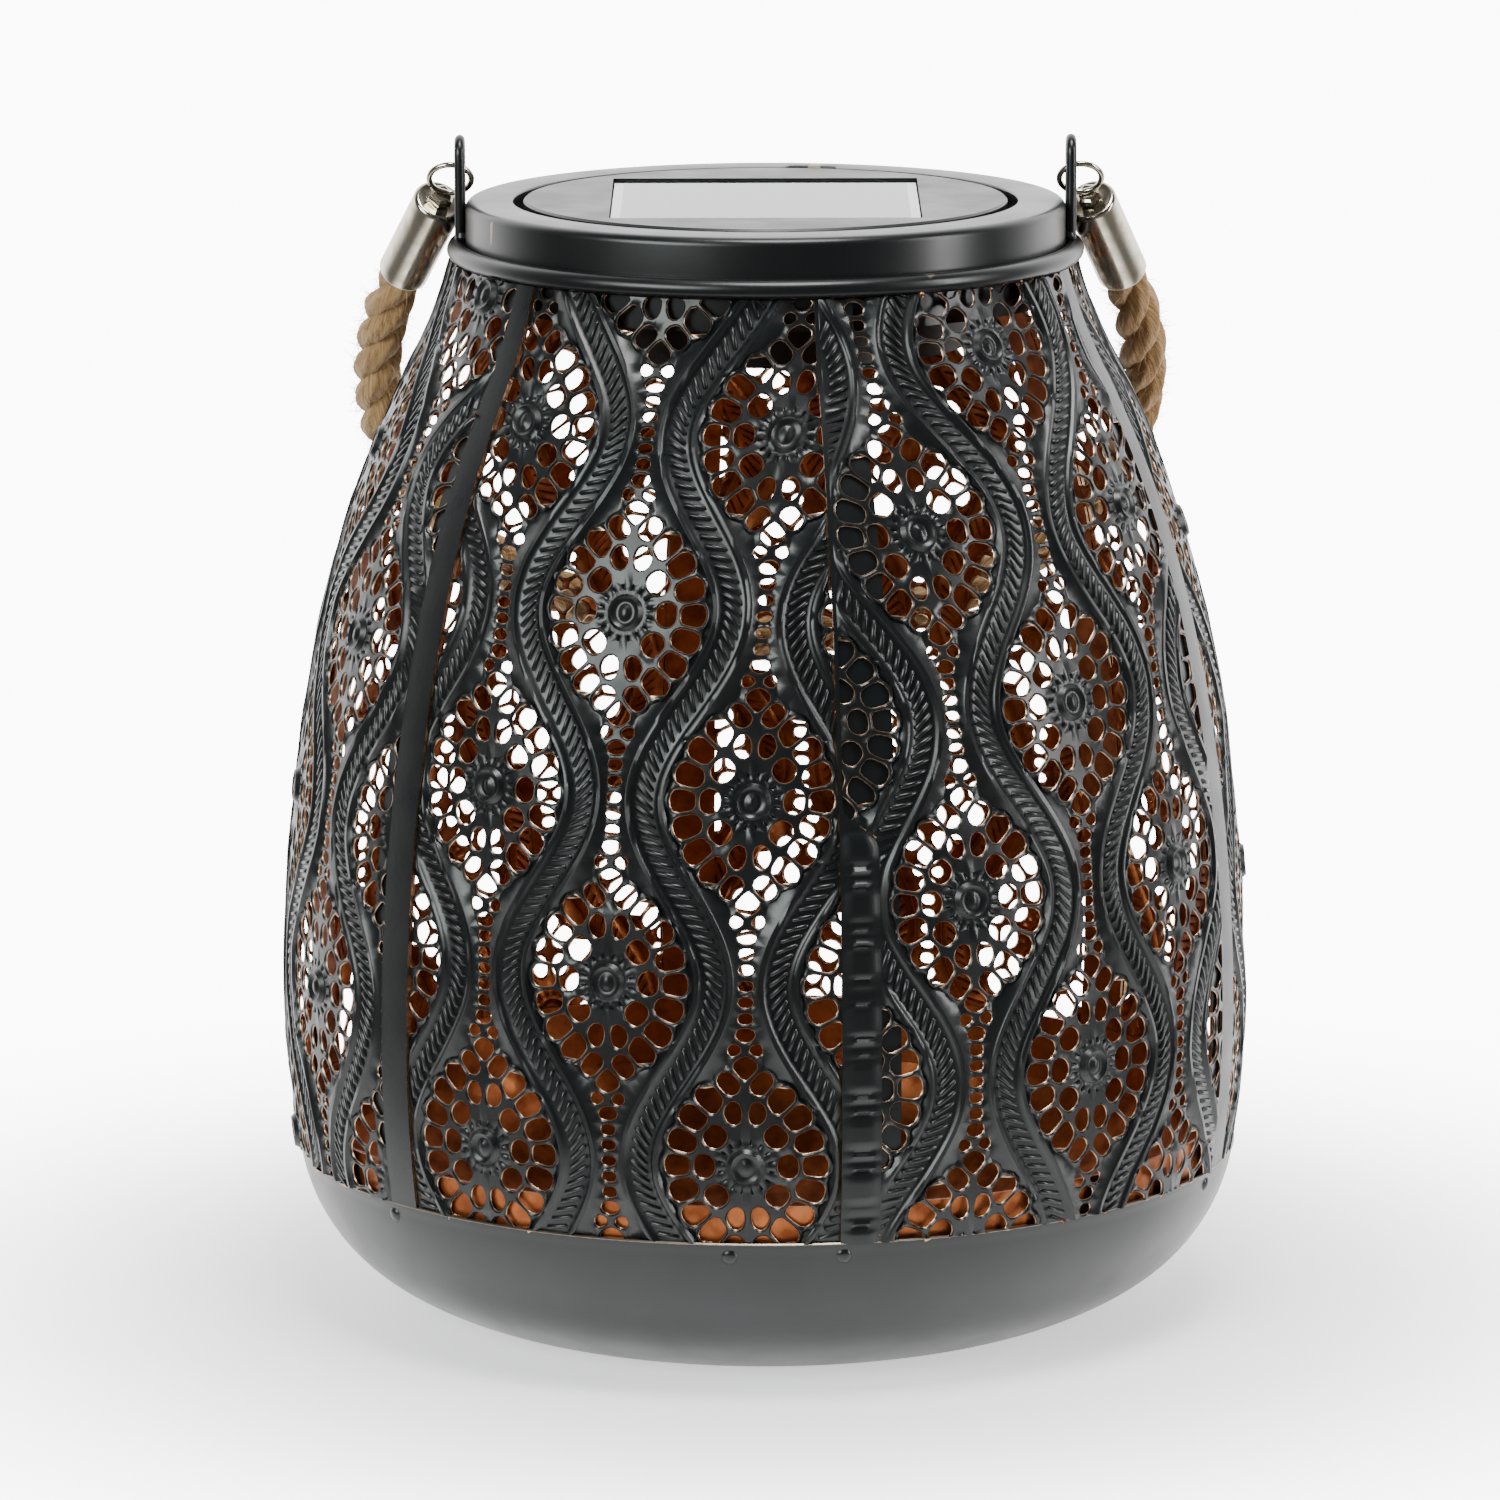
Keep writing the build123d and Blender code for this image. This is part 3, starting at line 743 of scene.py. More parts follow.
@dataclass(frozen=True)
class ShellProfile:
    """The shell's upright outline: three arcs and a hollow one, each tangent to the next, in metres."""

    belly_radius: float = 0.090
    belly_height: float = 0.059
    lower_arc: float = 0.203
    upper_arc: float = 0.330
    shoulder_height: float = 0.1305
    shoulder_arc: float = 0.1945
    neck_height: float = 0.1782
    neck_arc: float = 0.090
    top: float = 0.1962
    rim_height: float = 0.0302

    def arcs(self) -> list[tuple[Point, float, float, float]]:
        """Return each arc's centre, radius, and first and last angle in degrees."""
        low = -math.asin((self.belly_height - self.rim_height) / self.lower_arc)
        shoulder = math.asin((self.shoulder_height - self.belly_height) / self.upper_arc)
        step = self.upper_arc - self.shoulder_arc
        upper_centre = (self.belly_radius - self.upper_arc, self.belly_height)
        lower_centre = (self.belly_radius - self.lower_arc, self.belly_height)
        shoulder_centre = (
            upper_centre[0] + step * math.cos(shoulder), upper_centre[1] + step * math.sin(shoulder)
        )
        neck = math.asin((self.neck_height - shoulder_centre[1]) / self.shoulder_arc)
        reach = self.shoulder_arc + self.neck_arc
        neck_centre = (
            shoulder_centre[0] + reach * math.cos(neck), shoulder_centre[1] + reach * math.sin(neck)
        )
        crown = math.asin((neck_centre[1] - self.top) / self.neck_arc)
        turns = [low, 0.0, shoulder, neck, math.pi + neck, math.pi + crown]
        degrees = [math.degrees(t) for t in turns]
        return [
            (lower_centre, self.lower_arc, degrees[0], degrees[1]),
            (upper_centre, self.upper_arc, degrees[1], degrees[2]),
            (shoulder_centre, self.shoulder_arc, degrees[2], degrees[3]),
            (neck_centre, self.neck_arc, degrees[4], degrees[5]),
        ]

    def line(self, steps: int = 40) -> list[Point]:
        """Return the outline's points from the rim to the top."""
        points: list[Point] = []
        for centre, radius, start, end in self.arcs():
            points += arc(centre, radius, start, end, steps)[1 if points else 0 :]
        return points

    def curve_object(self) -> bpy.types.Object:
        """Make the outline as a curve that Geometry Nodes can bend a sheet along."""
        curve = bpy.data.curves.new("shell_outline", "CURVE")
        curve.dimensions = "3D"
        points = self.line()
        spline = curve.splines.new("POLY")
        spline.points.add(len(points) - 1)
        for corner, (radius, height) in zip(spline.points, points):
            corner.co = (radius, 0.0, height, 1.0)
        return new_object("shell_outline", curve)

    def length(self) -> float:
        """Return the outline's length."""
        points = np.array(self.line())
        return float(np.hypot(*np.diff(points, axis=0).T).sum())


# ------------------------------------------------------------------ the pressed pattern


@dataclass
class PatternTile:
    """One period of one column of the pressed pattern, laid flat, in millimetres.

    u runs across and v up, from the middle of the medallion. A column is a medallion of punched holes with
    a ladder of slots above and below it. Swaying bands of slanted ribs part the columns, and each column
    is half a period above the next, so that a medallion lies beside a ladder.

    A hole's own outline is an ellipse where squareness is 2, and squarer above that. The outline and the
    walls beside its neighbours meet the more sharply, the higher corner_power is.
    """

    column_pitch: float = 25.3
    row_pitch: float = 66.0
    sway: float = 6.9
    rung_pitch: float = 2.95
    web: float = 0.74
    lip: float = 0.34
    squareness: float = 2.2
    corner_power: float = 9.0
    rib_count: int = 36
    rib_length: float = 4.5
    rib_width: float = 0.92
    rib_slant: float = math.radians(-42)
    ribbon_offset: float = 3.05
    ribbon: tuple[Point, ...] = ((-0.6, -0.05), (-0.36, 0.22), (0.36, 0.22), (0.6, -0.05))
    border_offset: float = 2.1
    samples: int = 44
    spots: list[Point] = field(default_factory=list)
    lifts: list[float] = field(default_factory=list)
    wear: list[float] = field(default_factory=list)
    owners: list[int] = field(default_factory=list)
    edges: list[tuple[int, int]] = field(default_factory=list)

    def add_line(
        self, points: Sequence[Point], lift: float, closed: bool = False, wear: float = 0.0, owner: int = -1
    ) -> None:
        """Add a crease to the tile.

        Args:
            points: its corners.
            lift: its height above the sheet.
            closed: whether its ends join.
            wear: how strongly the pale metal tone shows along it, as rubbed-through paint and as a painted
                highlight.
            owner: the number of the hole whose edge it is, or -1.
        """
        first = len(self.spots)
        self.spots += points
        self.lifts += [lift] * len(points)
        self.wear += [wear] * len(points)
        self.owners += [owner] * len(points)
        self.edges += [(first + i, first + i + 1) for i in range(len(points) - 1)]
        if closed:
            self.edges.append((first + len(points) - 1, first))

    def holes(self) -> list[tuple[float, float, float, float, float, int]]:
        """Return the tile's holes.

        Returns:
            Each hole's middle, half-sizes along and across its axis, the axis's angle and its corner count.
        """
        half = self.row_pitch / 2
        quarter = [
            (0.0, 18.1, 2.4, 2.3, 16),
            (2.95, 15.3, 2.3, 2.2, 16),
            (6.4, 12.3, 3.0, 2.5, 16),
            (9.3, 8.9, 2.75, 2.6, 16),
            (11.35, 4.5, 2.75, 2.6, 16),
            (12.25, 0.0, 2.6, 2.6, 16),
            (2.25, 10.0, 2.35, 1.6, 16),
            (5.6, 5.6, 2.2, 2.25, 16),
            (7.75, 0.0, 2.1, 2.35, 16),
            (1.95, 21.4, 1.2, 1.2, 10),
        ]
        found = []
        for u, v, along, across, corners in quarter:
            for side in (1, -1) if u else (1,):
                for level in (1, -1) if v else (1,):
                    axis = math.atan2(v * level, u * side)
                    found.append((u * side, v * level, along, across, axis, corners))
        for rung in range(-2, 3):
            tall, wide = (0.95, 1.4) if abs(rung) < 2 else (1.15, 1.35)
            found.append((0.0, half + self.rung_pitch * rung, tall, wide, math.pi / 2, 12))
        for end in (-1, 1):
            found.append((0.0, half + 8.85 * end, 1.3, 1.8, math.pi / 2, 12))
        top = self.top()
        return [(u, v - self.row_pitch if v > top else v, a, b, t, n) for u, v, a, b, t, n in found]

    def top(self) -> float:
        """Return the height of the tile's upper edge, halfway between two rungs."""
        return (self.row_pitch - self.rung_pitch) / 2

    def outline(self, hole: int, holes: list, grow: float) -> list[Point]:
        """Return a hole's outline: its own oval, flattened where it faces its neighbours.

        Args:
            hole: its number.
            holes: every hole.
            grow: how far outside the hole's edge the line runs.
        """
        u, v, along, across, axis, corners = holes[hole]
        turns = axis + np.arange(corners) * 2 * math.pi / corners
        share_along = np.abs(np.cos(turns - axis) / along) ** self.squareness
        share_across = np.abs(np.sin(turns - axis) / across) ** self.squareness
        reach = (share_along + share_across) ** (-1 / self.squareness)
        crowd = reach**-self.corner_power
        for other, (u2, v2, along2, across2, _, _) in enumerate(holes):
            for shift in (-self.row_pitch, 0, self.row_pitch):
                gap = math.hypot(u2 - u, v2 + shift - v)
                if other == hole or gap > 8:
                    continue
                share = (along + across) / (along + across + along2 + across2)
                facing = np.cos(turns - math.atan2(v2 + shift - v, u2 - u))
                wall = (gap * share - self.web / 2) / np.maximum(facing, 0.05)
                crowd = crowd + wall**-self.corner_power
        size = crowd ** (-1 / self.corner_power) + grow
        return [(u + r * math.cos(t), v + r * math.sin(t)) for r, t in zip(size, turns)]

    def band(self, v: np.ndarray, side: int, offset: float) -> np.ndarray:
        """Return points beside the middle of the band on one side, at a distance square to it."""
        phase = 2 * math.pi * np.asarray(v) / self.row_pitch
        middle = self.column_pitch / 2 + self.sway * np.cos(phase)
        slope = -self.sway * 2 * math.pi / self.row_pitch * np.sin(phase)
        size = np.hypot(1, slope)
        u = side * middle + offset / size
        return np.stack([u, v - side * offset * slope / size], axis=1)

    def levels(self) -> np.ndarray:
        """Return the evenly spaced heights at which the bands' lines have corners."""
        return self.top() - self.row_pitch + np.arange(self.samples + 1) * self.row_pitch / self.samples

    def sheet_height(self, u: np.ndarray, v: np.ndarray) -> np.ndarray:
        """Return the broad relief: bands stand above the medallions, which swell towards their middle."""
        phase = 2 * math.pi * v / self.row_pitch
        slope = self.sway * 2 * math.pi / self.row_pitch * np.sin(phase)
        middle = self.column_pitch / 2 + self.sway * np.cos(phase)
        away = np.abs(np.abs(u) - middle) / np.hypot(1, slope)
        swell = 0.45 * (1 - smoothstep(2.0, 7.0, np.hypot(u, v)))
        return 0.5 * (1 - smoothstep(3.5, 4.2, away)) - 0.38 * (1 - smoothstep(2.1, 2.5, away)) + swell

    def add_holes(self) -> None:
        """Add every hole: the punched edge, turned in, and the raised lip round it."""
        holes = self.holes()
        for number in range(len(holes)):
            # The punched edge gets the full pale metal tone: partly rubbed-through paint, partly a painted
            # highlight where the turned-in edge catches light.
            self.add_line(self.outline(number, holes, 0.0), -0.22, True, 1.0, number)
            self.add_line(self.outline(number, holes, self.lip), 0.2, True)

    def rib_heading(self, v: float) -> np.ndarray:
        """Return the direction of a rib of the right-hand band, at a fixed slant to the band."""
        slope = -self.sway * 2 * math.pi / self.row_pitch * math.sin(2 * math.pi * v / self.row_pitch)
        turn = self.rib_slant - math.atan(slope)
        return np.array([math.cos(turn), math.sin(turn)])

    def add_bands(self) -> None:
        """Add the ribs of the right-hand band and the flat ribbons beside both bands."""
        levels = self.levels()
        pitch = self.row_pitch / self.rib_count
        half, wide = self.rib_length / 2, self.rib_width / 2
        foot = [(half, 0), (half - 0.4, wide), (0.4 - half, wide), (-half, 0), (0.4 - half, -wide),
                (half - 0.4, -wide)]
        crown = [(half - 0.5, wide * 0.5), (0.5 - half, wide * 0.5), (0.5 - half, -wide * 0.5),
                 (half - 0.5, -wide * 0.5)]
        for number in range(self.rib_count):
            v = levels[0] + (number + 0.5) * pitch
            middle = self.band(np.array([v]), 1, 0.0)[0]
            along = self.rib_heading(v)
            across = np.array([-along[1], along[0]])
            for shape, lift in ((foot, -0.05), (crown, 0.42)):
                self.add_line([tuple(middle + along * a + across * b) for a, b in shape], lift, True)
        for side in (1, -1):
            for step, lift in self.ribbon:
                line = self.band(levels, side, -side * (self.ribbon_offset + step))
                self.add_line([tuple(p) for p in line], lift)

    def add_scallops(self) -> None:
        """Add the raised line and the groove that follow the medallion's outer ring of holes."""
        ring = [h for h in self.holes() if abs(h[1]) < 19 and math.hypot(h[0] / 11.0, h[1] / 14.0) > 0.85]
        v = np.linspace(-20.4, 20.4, 60)
        for grow, lift in ((0.5, 0.24), (0.88, -0.22)):
            total = np.zeros_like(v)
            for u0, v0, along, across, _, _ in ring:
                if u0 < -0.1:
                    continue
                room = np.maximum((min(along, across) + 0.05 + grow) ** 2 - (v - v0) ** 2, 0)
                total += np.where(room > 0, u0 + np.sqrt(room), 0) ** 24
            width = total ** (1 / 24)
            for side in (1, -1):
                self.add_line([(side * w, y) for w, y in zip(width, v) if w > 3.0], lift)

    def add_button(self) -> None:
        """Add the medallion's button: a raised ring round an oval boss, with a wreath of short dashes."""
        for radius, stretch, lift in ((3.4, 1.0, -0.12), (2.65, 1.05, 0.6), (1.85, 1.15, 0.0),
                                      (1.15, 1.35, 0.0), (0.6, 1.6, 0.5)):
            turns = np.arange(20) * 2 * math.pi / 20
            ring = [(radius * math.cos(t), radius * stretch * math.sin(t)) for t in turns]
            self.add_line(ring, lift, True)
        for number in range(16):
            turn = (number + 0.5) * 2 * math.pi / 16
            out = np.array([math.cos(turn), math.sin(turn)])
            side = np.array([-out[1], out[0]])
            dash = [tuple(out * r + side * w) for r, w in ((3.9, 0.0), (4.3, 0.35), (5.0, 0.4), (5.35, 0.0),
                                                           (5.0, -0.4), (4.3, -0.35))]
            self.add_line(dash, 0.06, True)
            self.add_line([tuple(out * 4.3), tuple(out * 5.0)], -0.34)

    def border(self) -> list[Point]:
        """Return the tile's closed border, which meets the neighbouring tiles corner for corner."""
        levels = self.levels()
        right = [tuple(p) for p in self.band(levels, 1, self.border_offset)]
        left = [tuple(p) for p in self.band(levels, -1, self.border_offset)]
        end = levels[-1:]
        middle = self.band(end, 1, 0.0)[0]
        gap = self.rib_heading(end[0]) * self.rib_length / 2
        steps = [step for step, _ in self.ribbon]
        lip = [self.band(end, -1, self.ribbon_offset + s)[0] for s in steps]
        lip += [self.band(end, 1, -self.ribbon_offset + s)[0] for s in steps]
        rung = [np.array([u, self.top()]) for u in (-1.3, 0.0, 1.3)]
        top = [tuple(p) for p in lip[:4] + rung + lip[4:] + [middle - gap, middle + gap]]
        bottom = [(u, v - self.row_pitch) for u, v in top]
        return left[::-1] + bottom + right + top[::-1]

    def build(self, name: str) -> bpy.types.Object:
        """Triangulate the creases and return the tile as a hidden mesh, in metres."""
        border = self.border()
        self.add_line(border, 0.0, True)
        self.add_holes()
        self.add_bands()
        self.add_scallops()
        self.add_button()
        result = delaunay_2d_cdt([Vector(p) for p in self.spots], self.edges, [], 0, 1e-4, True)
        spots, _, faces, sources = result[:4]
        flat = np.array([tuple(p) for p in spots])
        source = [s[0] if s else -1 for s in sources]
        lift = np.array([self.strongest(s, self.lifts) for s in sources])
        height = self.sheet_height(flat[:, 0], flat[:, 1]) + lift
        kept = []
        for face in faces:
            owner = {self.owners[source[i]] if source[i] >= 0 else -1 for i in face}
            if len(owner) == 1 and owner != {-1}:
                continue
            if inside(border, flat[list(face)].mean(axis=0)):
                kept.append(face)
        mesh = bpy.data.meshes.new(name)
        mesh.from_pydata([(u * MM, v * MM, h * MM) for (u, v), h in zip(flat, height)], [], kept)
        # This attribute carries the pale metal tone: rubbed-through paint, and a painted highlight at the
        # punched edges.
        worn_and_highlighted = mesh.attributes.new("wear", "FLOAT", "POINT")
        worn_and_highlighted.data.foreach_set("value", [self.strongest(s, self.wear) for s in sources])
        mesh.update()
        log.info("%s: %d corners, %d faces", name, len(mesh.vertices), len(mesh.polygons))
        tile = new_object(name, mesh)
        tile.hide_render = True
        return tile

    @staticmethod
    def strongest(sources: Sequence[int], values: Sequence[float]) -> float:
        """Return the value that stands out most among merged corners, or 0 at a new one."""
        return max((values[s] for s in sources), key=abs, default=0.0)


def inside(border: Sequence[Point], spot: Sequence[float]) -> bool:
    """Tell whether a spot lies inside a closed border."""
    ring = np.array(border)
    ahead = np.roll(ring, -1, axis=0)
    crosses = (ring[:, 1] > spot[1]) != (ahead[:, 1] > spot[1])
    rise = np.where(crosses, ahead[:, 1] - ring[:, 1], 1.0)
    meets = ring[:, 0] + (spot[1] - ring[:, 1]) * (ahead[:, 0] - ring[:, 0]) / rise
    return bool(np.count_nonzero(crosses & (spot[0] < meets)) % 2)


class Lap(Enum):
    """How a panel meets its neighbours at the seams."""

    UNDER = 0
    OVER = 1


@dataclass(frozen=True)
class Panel:
    """One sheet of the shell.

    Attributes:
        number: its number in the frame.
        azimuth: degrees right of the front.
        lap: whether its edges lie under or over its neighbours'.
        column_phase: how far right of its middle a column of medallions stands, in metres.
        row_phase: the height along the sheet of that column's lowest medallion, in metres.
    """

    number: int
    azimuth: float
    lap: Lap
    column_phase: float
    row_phase: float


@dataclass
class PerforatedShell:
    """The six pressed, punched and painted panels.

    Attributes:
        profile: the outline that they follow.
        even_tile: the pattern of every second column.
        odd_tile: the pattern of the columns between, its ribs slanted the other way.
        sheet: the sheet's thickness.
        under_inset: how far in the panels under their neighbours lie.
        half_angles: each kind of panel's half-width in degrees.
        strip_angles: the plain seam strip's width in degrees.
        left_strip_tops: the share of the height up to which the left strip is at full width, which
            is all of it above 1.
        right_strip_top: the same for the right strip.
        hem: the least width of a seam strip.
        flattened: the distance over which the relief dies away at a seam.
        crimp_pitch: the distance between crimps up the left strip.
        crimp_height: how far they stand out.
        unevenness: the most that hand pressing makes the sheet wander.
        columns: the columns of tiles laid out before a panel is trimmed.
        rows: the tiles in a column.
        panels: each panel's place round the axis, its lap and where its pattern starts.
    """

    profile: ShellProfile
    even_tile: PatternTile
    odd_tile: PatternTile
    sheet: float = 0.55 * MM
    under_inset: float = 0.65 * MM
    half_angles: dict[Lap, float] = field(default_factory=lambda: {Lap.UNDER: 34.5, Lap.OVER: 32.5})
    strip_angles: dict[Lap, float] = field(default_factory=lambda: {Lap.UNDER: 6.8, Lap.OVER: 4.6})
    left_strip_tops: dict[Lap, float] = field(default_factory=lambda: {Lap.UNDER: 2.0, Lap.OVER: 0.42})
    right_strip_top: float = 2.0
    hem: float = 0.7 * MM
    flattened: float = 1.4 * MM
    crimp_pitch: float = 10.3 * MM
    crimp_height: float = 0.62 * MM
    unevenness: float = 0.9 * MM
    columns: int = 7
    rows: int = 5
    panels: tuple[Panel, ...] = (
        Panel(1, -19.0, Lap.UNDER, 0.0005, 0.0476),
        Panel(2, 41.0, Lap.OVER, -0.0258, 0.0615),
        Panel(3, 101.0, Lap.UNDER, 0.0040, 0.0200),
        Panel(4, 161.0, Lap.OVER, -0.0030, 0.0540),
        Panel(5, 221.0, Lap.UNDER, 0.0060, 0.0380),
        Panel(6, 281.0, Lap.OVER, 0.0200, 0.0361),
    )

    def tree(self) -> bpy.types.NodeTree:
        """Make the tree that lays tiles out flat, trims them, adds the seam strips and bends the sheet."""
        tree, given = geometry_tree(
            "perforated_panel",
            [("Even Tile", "Object"), ("Odd Tile", "Object"), ("Outline", "Object"), ("Paint", "Material"),
             ("Azimuth", "Float"), ("Half Angle", "Float"), ("Skin Inset", "Float"),
             ("Column Pitch", "Float"), ("Row Pitch", "Float"), ("Column Phase", "Float"),
             ("Row Phase", "Float"), ("Columns", "Int"), ("Rows", "Int"), ("Strip Angle", "Float"),
             ("Left Strip Top", "Float"),
             ("Right Strip Top", "Float"), ("Crimp Pitch", "Float"), ("Crimp Height", "Float"),
             ("Length", "Float"), ("Unevenness", "Float"), ("Seed", "Float")],
        )
        outline = add_node(tree, "GeometryNodeObjectInfo", {"Object": given.outputs["Outline"]})
        sheet = self.trimmed(tree, given, outline, self.tiled(tree, given))
        strips = [self.strip(tree, given, outline, side) for side in (1, -1)]
        joined = add_node(tree, "GeometryNodeJoinGeometry")
        for part in (sheet, *strips):
            tree.links.new(part.outputs[0], joined.inputs[0])
        bent = self.bent(tree, given, outline, joined)
        real = add_node(tree, "GeometryNodeRealizeInstances", {0: bent})
        painted = add_node(
            tree, "GeometryNodeSetMaterial", {"Geometry": real, "Material": given.outputs["Paint"]}
        )
        add_node(tree, "NodeGroupOutput", {0: painted})
        return tree

    def tiled(self, tree: bpy.types.NodeTree, given: bpy.types.Node) -> bpy.types.Node:
        """Set out the tiles in staggered columns, and return the node with the flat sheet."""
        out = given.outputs
        count = add_node(tree, "ShaderNodeMath", {0: out["Columns"], 1: out["Rows"]}, operation="MULTIPLY")
        index = add_node(tree, "GeometryNodeInputIndex")
        column = add_node(tree, "ShaderNodeMath", {0: index, 1: out["Columns"]}, operation="MODULO")
        share = add_node(tree, "ShaderNodeMath", {0: index, 1: out["Columns"]}, operation="DIVIDE")
        row = add_node(tree, "ShaderNodeMath", {0: share}, operation="FLOOR")
        half = add_node(tree, "ShaderNodeMath", {0: out["Columns"], 1: 0.5}, operation="MULTIPLY")
        centre = add_node(tree, "ShaderNodeMath", {0: half}, operation="FLOOR")
        step = add_node(tree, "ShaderNodeMath", {0: column, 1: centre}, operation="SUBTRACT")
        across = add_node(
            tree, "ShaderNodeMath", {0: step, 1: out["Column Pitch"], 2: out["Column Phase"]},
            operation="MULTIPLY_ADD",
        )
        odd = add_node(tree, "ShaderNodeMath", {0: step, 1: 2.0}, operation="FLOORED_MODULO")
        stagger = add_node(tree, "ShaderNodeMath", {0: odd, 1: 0.5, 2: row}, operation="MULTIPLY_ADD")
        lowered = add_node(tree, "ShaderNodeMath", {0: stagger, 1: 1.0}, operation="SUBTRACT")
        along = add_node(
            tree, "ShaderNodeMath", {0: lowered, 1: out["Row Pitch"], 2: out["Row Phase"]},
            operation="MULTIPLY_ADD",
        )
        place = add_node(tree, "ShaderNodeCombineXYZ", {0: across, 1: along})
        spots = add_node(tree, "GeometryNodePoints", {"Count": count, "Position": place})
        is_even = add_node(tree, "ShaderNodeMath", {0: odd, 1: 0.5}, operation="LESS_THAN")
        both = add_node(tree, "GeometryNodeJoinGeometry")
        for label, chosen in (("Even Tile", is_even), ("Odd Tile", odd)):
            tile = add_node(tree, "GeometryNodeObjectInfo", {"Object": out[label]})
            laid = add_node(
                tree,
                "GeometryNodeInstanceOnPoints",
                {"Points": spots, "Selection": chosen, "Instance": tile.outputs["Geometry"]},
            )
            tree.links.new(laid.outputs[0], both.inputs[0])
        real = add_node(tree, "GeometryNodeRealizeInstances", {0: both})
        return add_node(tree, "GeometryNodeMergeByDistance", {"Geometry": real, "Distance": 0.01 * MM})

    def margins(
        self, tree: bpy.types.NodeTree, given: bpy.types.Node, outline: bpy.types.Node,
        along: bpy.types.NodeSocket, side: int,
    ) -> tuple[bpy.types.Node, bpy.types.Node, bpy.types.Node]:
        """Return nodes with the panel's half-width, its strip's width and how much of the strip is left.

        Args:
            along: the height along the sheet.
            side: -1 for the left edge, whose strip ends part of the way up, or 1 for the right.
        """
        out = given.outputs
        sample = add_node(
            tree, "GeometryNodeSampleCurve", {"Curves": outline.outputs["Geometry"], "Length": along},
            mode="LENGTH",
        )
        radius = add_node(tree, "ShaderNodeSeparateXYZ", {0: sample.outputs["Position"]}).outputs[0]
        whole = add_node(tree, "ShaderNodeMath", {0: radius, 1: out["Half Angle"]}, operation="MULTIPLY")
        level = add_node(tree, "ShaderNodeMath", {0: along, 1: out["Length"]}, operation="DIVIDE")
        top = out["Left Strip Top" if side < 0 else "Right Strip Top"]
        high = add_node(tree, "ShaderNodeMath", {0: top, 1: 0.05}, operation="ADD")
        share = add_node(
            tree,
            "ShaderNodeMapRange",
            {"Value": level, "From Min": high, "From Max": top},
            interpolation_type="SMOOTHSTEP",
        )
        full = add_node(tree, "ShaderNodeMath", {0: radius, 1: out["Strip Angle"]}, operation="MULTIPLY")
        left = add_node(tree, "ShaderNodeMath", {0: full, 1: share}, operation="MULTIPLY")
        return whole, add_node(tree, "ShaderNodeMath", {0: left, 1: self.hem}, operation="MAXIMUM"), share

    def trimmed(
        self, tree: bpy.types.NodeTree, given: bpy.types.Node, outline: bpy.types.Node, sheet: bpy.types.Node
    ) -> bpy.types.Node:
        """Cut the flat sheet to the panel's outline inside its seam strips, and flatten it towards them."""
        out = given.outputs
        spot = add_node(tree, "ShaderNodeSeparateXYZ", {0: add_node(tree, "GeometryNodeInputPosition")})
        held = add_node(
            tree, "ShaderNodeClamp", {"Value": spot.outputs[1], "Min": 0.0, "Max": out["Length"]}
        )
        whole, left_strip, _ = self.margins(tree, given, outline, held.outputs[0], -1)
        _, right_strip, _ = self.margins(tree, given, outline, held.outputs[0], 1)
        low = add_node(tree, "ShaderNodeMath", {0: left_strip, 1: whole}, operation="SUBTRACT")
        high = add_node(tree, "ShaderNodeMath", {0: whole, 1: right_strip}, operation="SUBTRACT")
        over_low = add_node(tree, "ShaderNodeMath", {0: spot.outputs[0], 1: low}, operation="SUBTRACT")
        under_high = add_node(tree, "ShaderNodeMath", {0: high, 1: spot.outputs[0]}, operation="SUBTRACT")
        room = add_node(tree, "ShaderNodeMath", {0: over_low, 1: under_high}, operation="MINIMUM")
        wide = add_node(tree, "ShaderNodeMath", {0: room, 1: 0.0}, operation="LESS_THAN")
        kept_level = add_node(
            tree, "ShaderNodeMath", {0: spot.outputs[1], 1: held, 2: 0.001 * MM}, operation="COMPARE"
        )
        outside = add_node(tree, "ShaderNodeMath", {0: 1.0, 1: kept_level}, operation="SUBTRACT")
        waste = add_node(tree, "ShaderNodeMath", {0: wide, 1: outside}, operation="MAXIMUM")
        beyond = add_node(tree, "FunctionNodeCompare", {0: waste, 1: 0.5}, operation="GREATER_THAN")
        corners = add_node(
            tree, "GeometryNodeFieldOnDomain", {"Value": beyond}, data_type="BOOLEAN", domain="POINT"
        )
        kept = add_node(
            tree, "GeometryNodeDeleteGeometry", {"Geometry": sheet, "Selection": corners}, domain="FACE"
        )
        across = add_node(tree, "ShaderNodeClamp", {"Value": spot.outputs[0], "Min": low, "Max": high})
        seeded = add_node(
            tree,
            "ShaderNodeTexNoise",
            {"W": out["Seed"], "Scale": 1 / (11 * MM), "Detail": 2.0},
            noise_dimensions="4D",
        )
        level = add_node(tree, "ShaderNodeMath", {0: seeded, 1: 0.5}, operation="SUBTRACT")
        uneven = add_node(
            tree, "ShaderNodeMath", {0: level, 1: out["Unevenness"], 2: spot.outputs[2]},
            operation="MULTIPLY_ADD",
        )
        relief = add_node(tree, "ShaderNodeMapRange", {"Value": room, "From Max": self.flattened})
        raised = add_node(tree, "ShaderNodeMath", {0: uneven, 1: relief}, operation="MULTIPLY")
        place = add_node(tree, "ShaderNodeCombineXYZ", {0: across, 1: held, 2: raised})
        return add_node(tree, "GeometryNodeSetPosition", {"Geometry": kept, "Position": place})

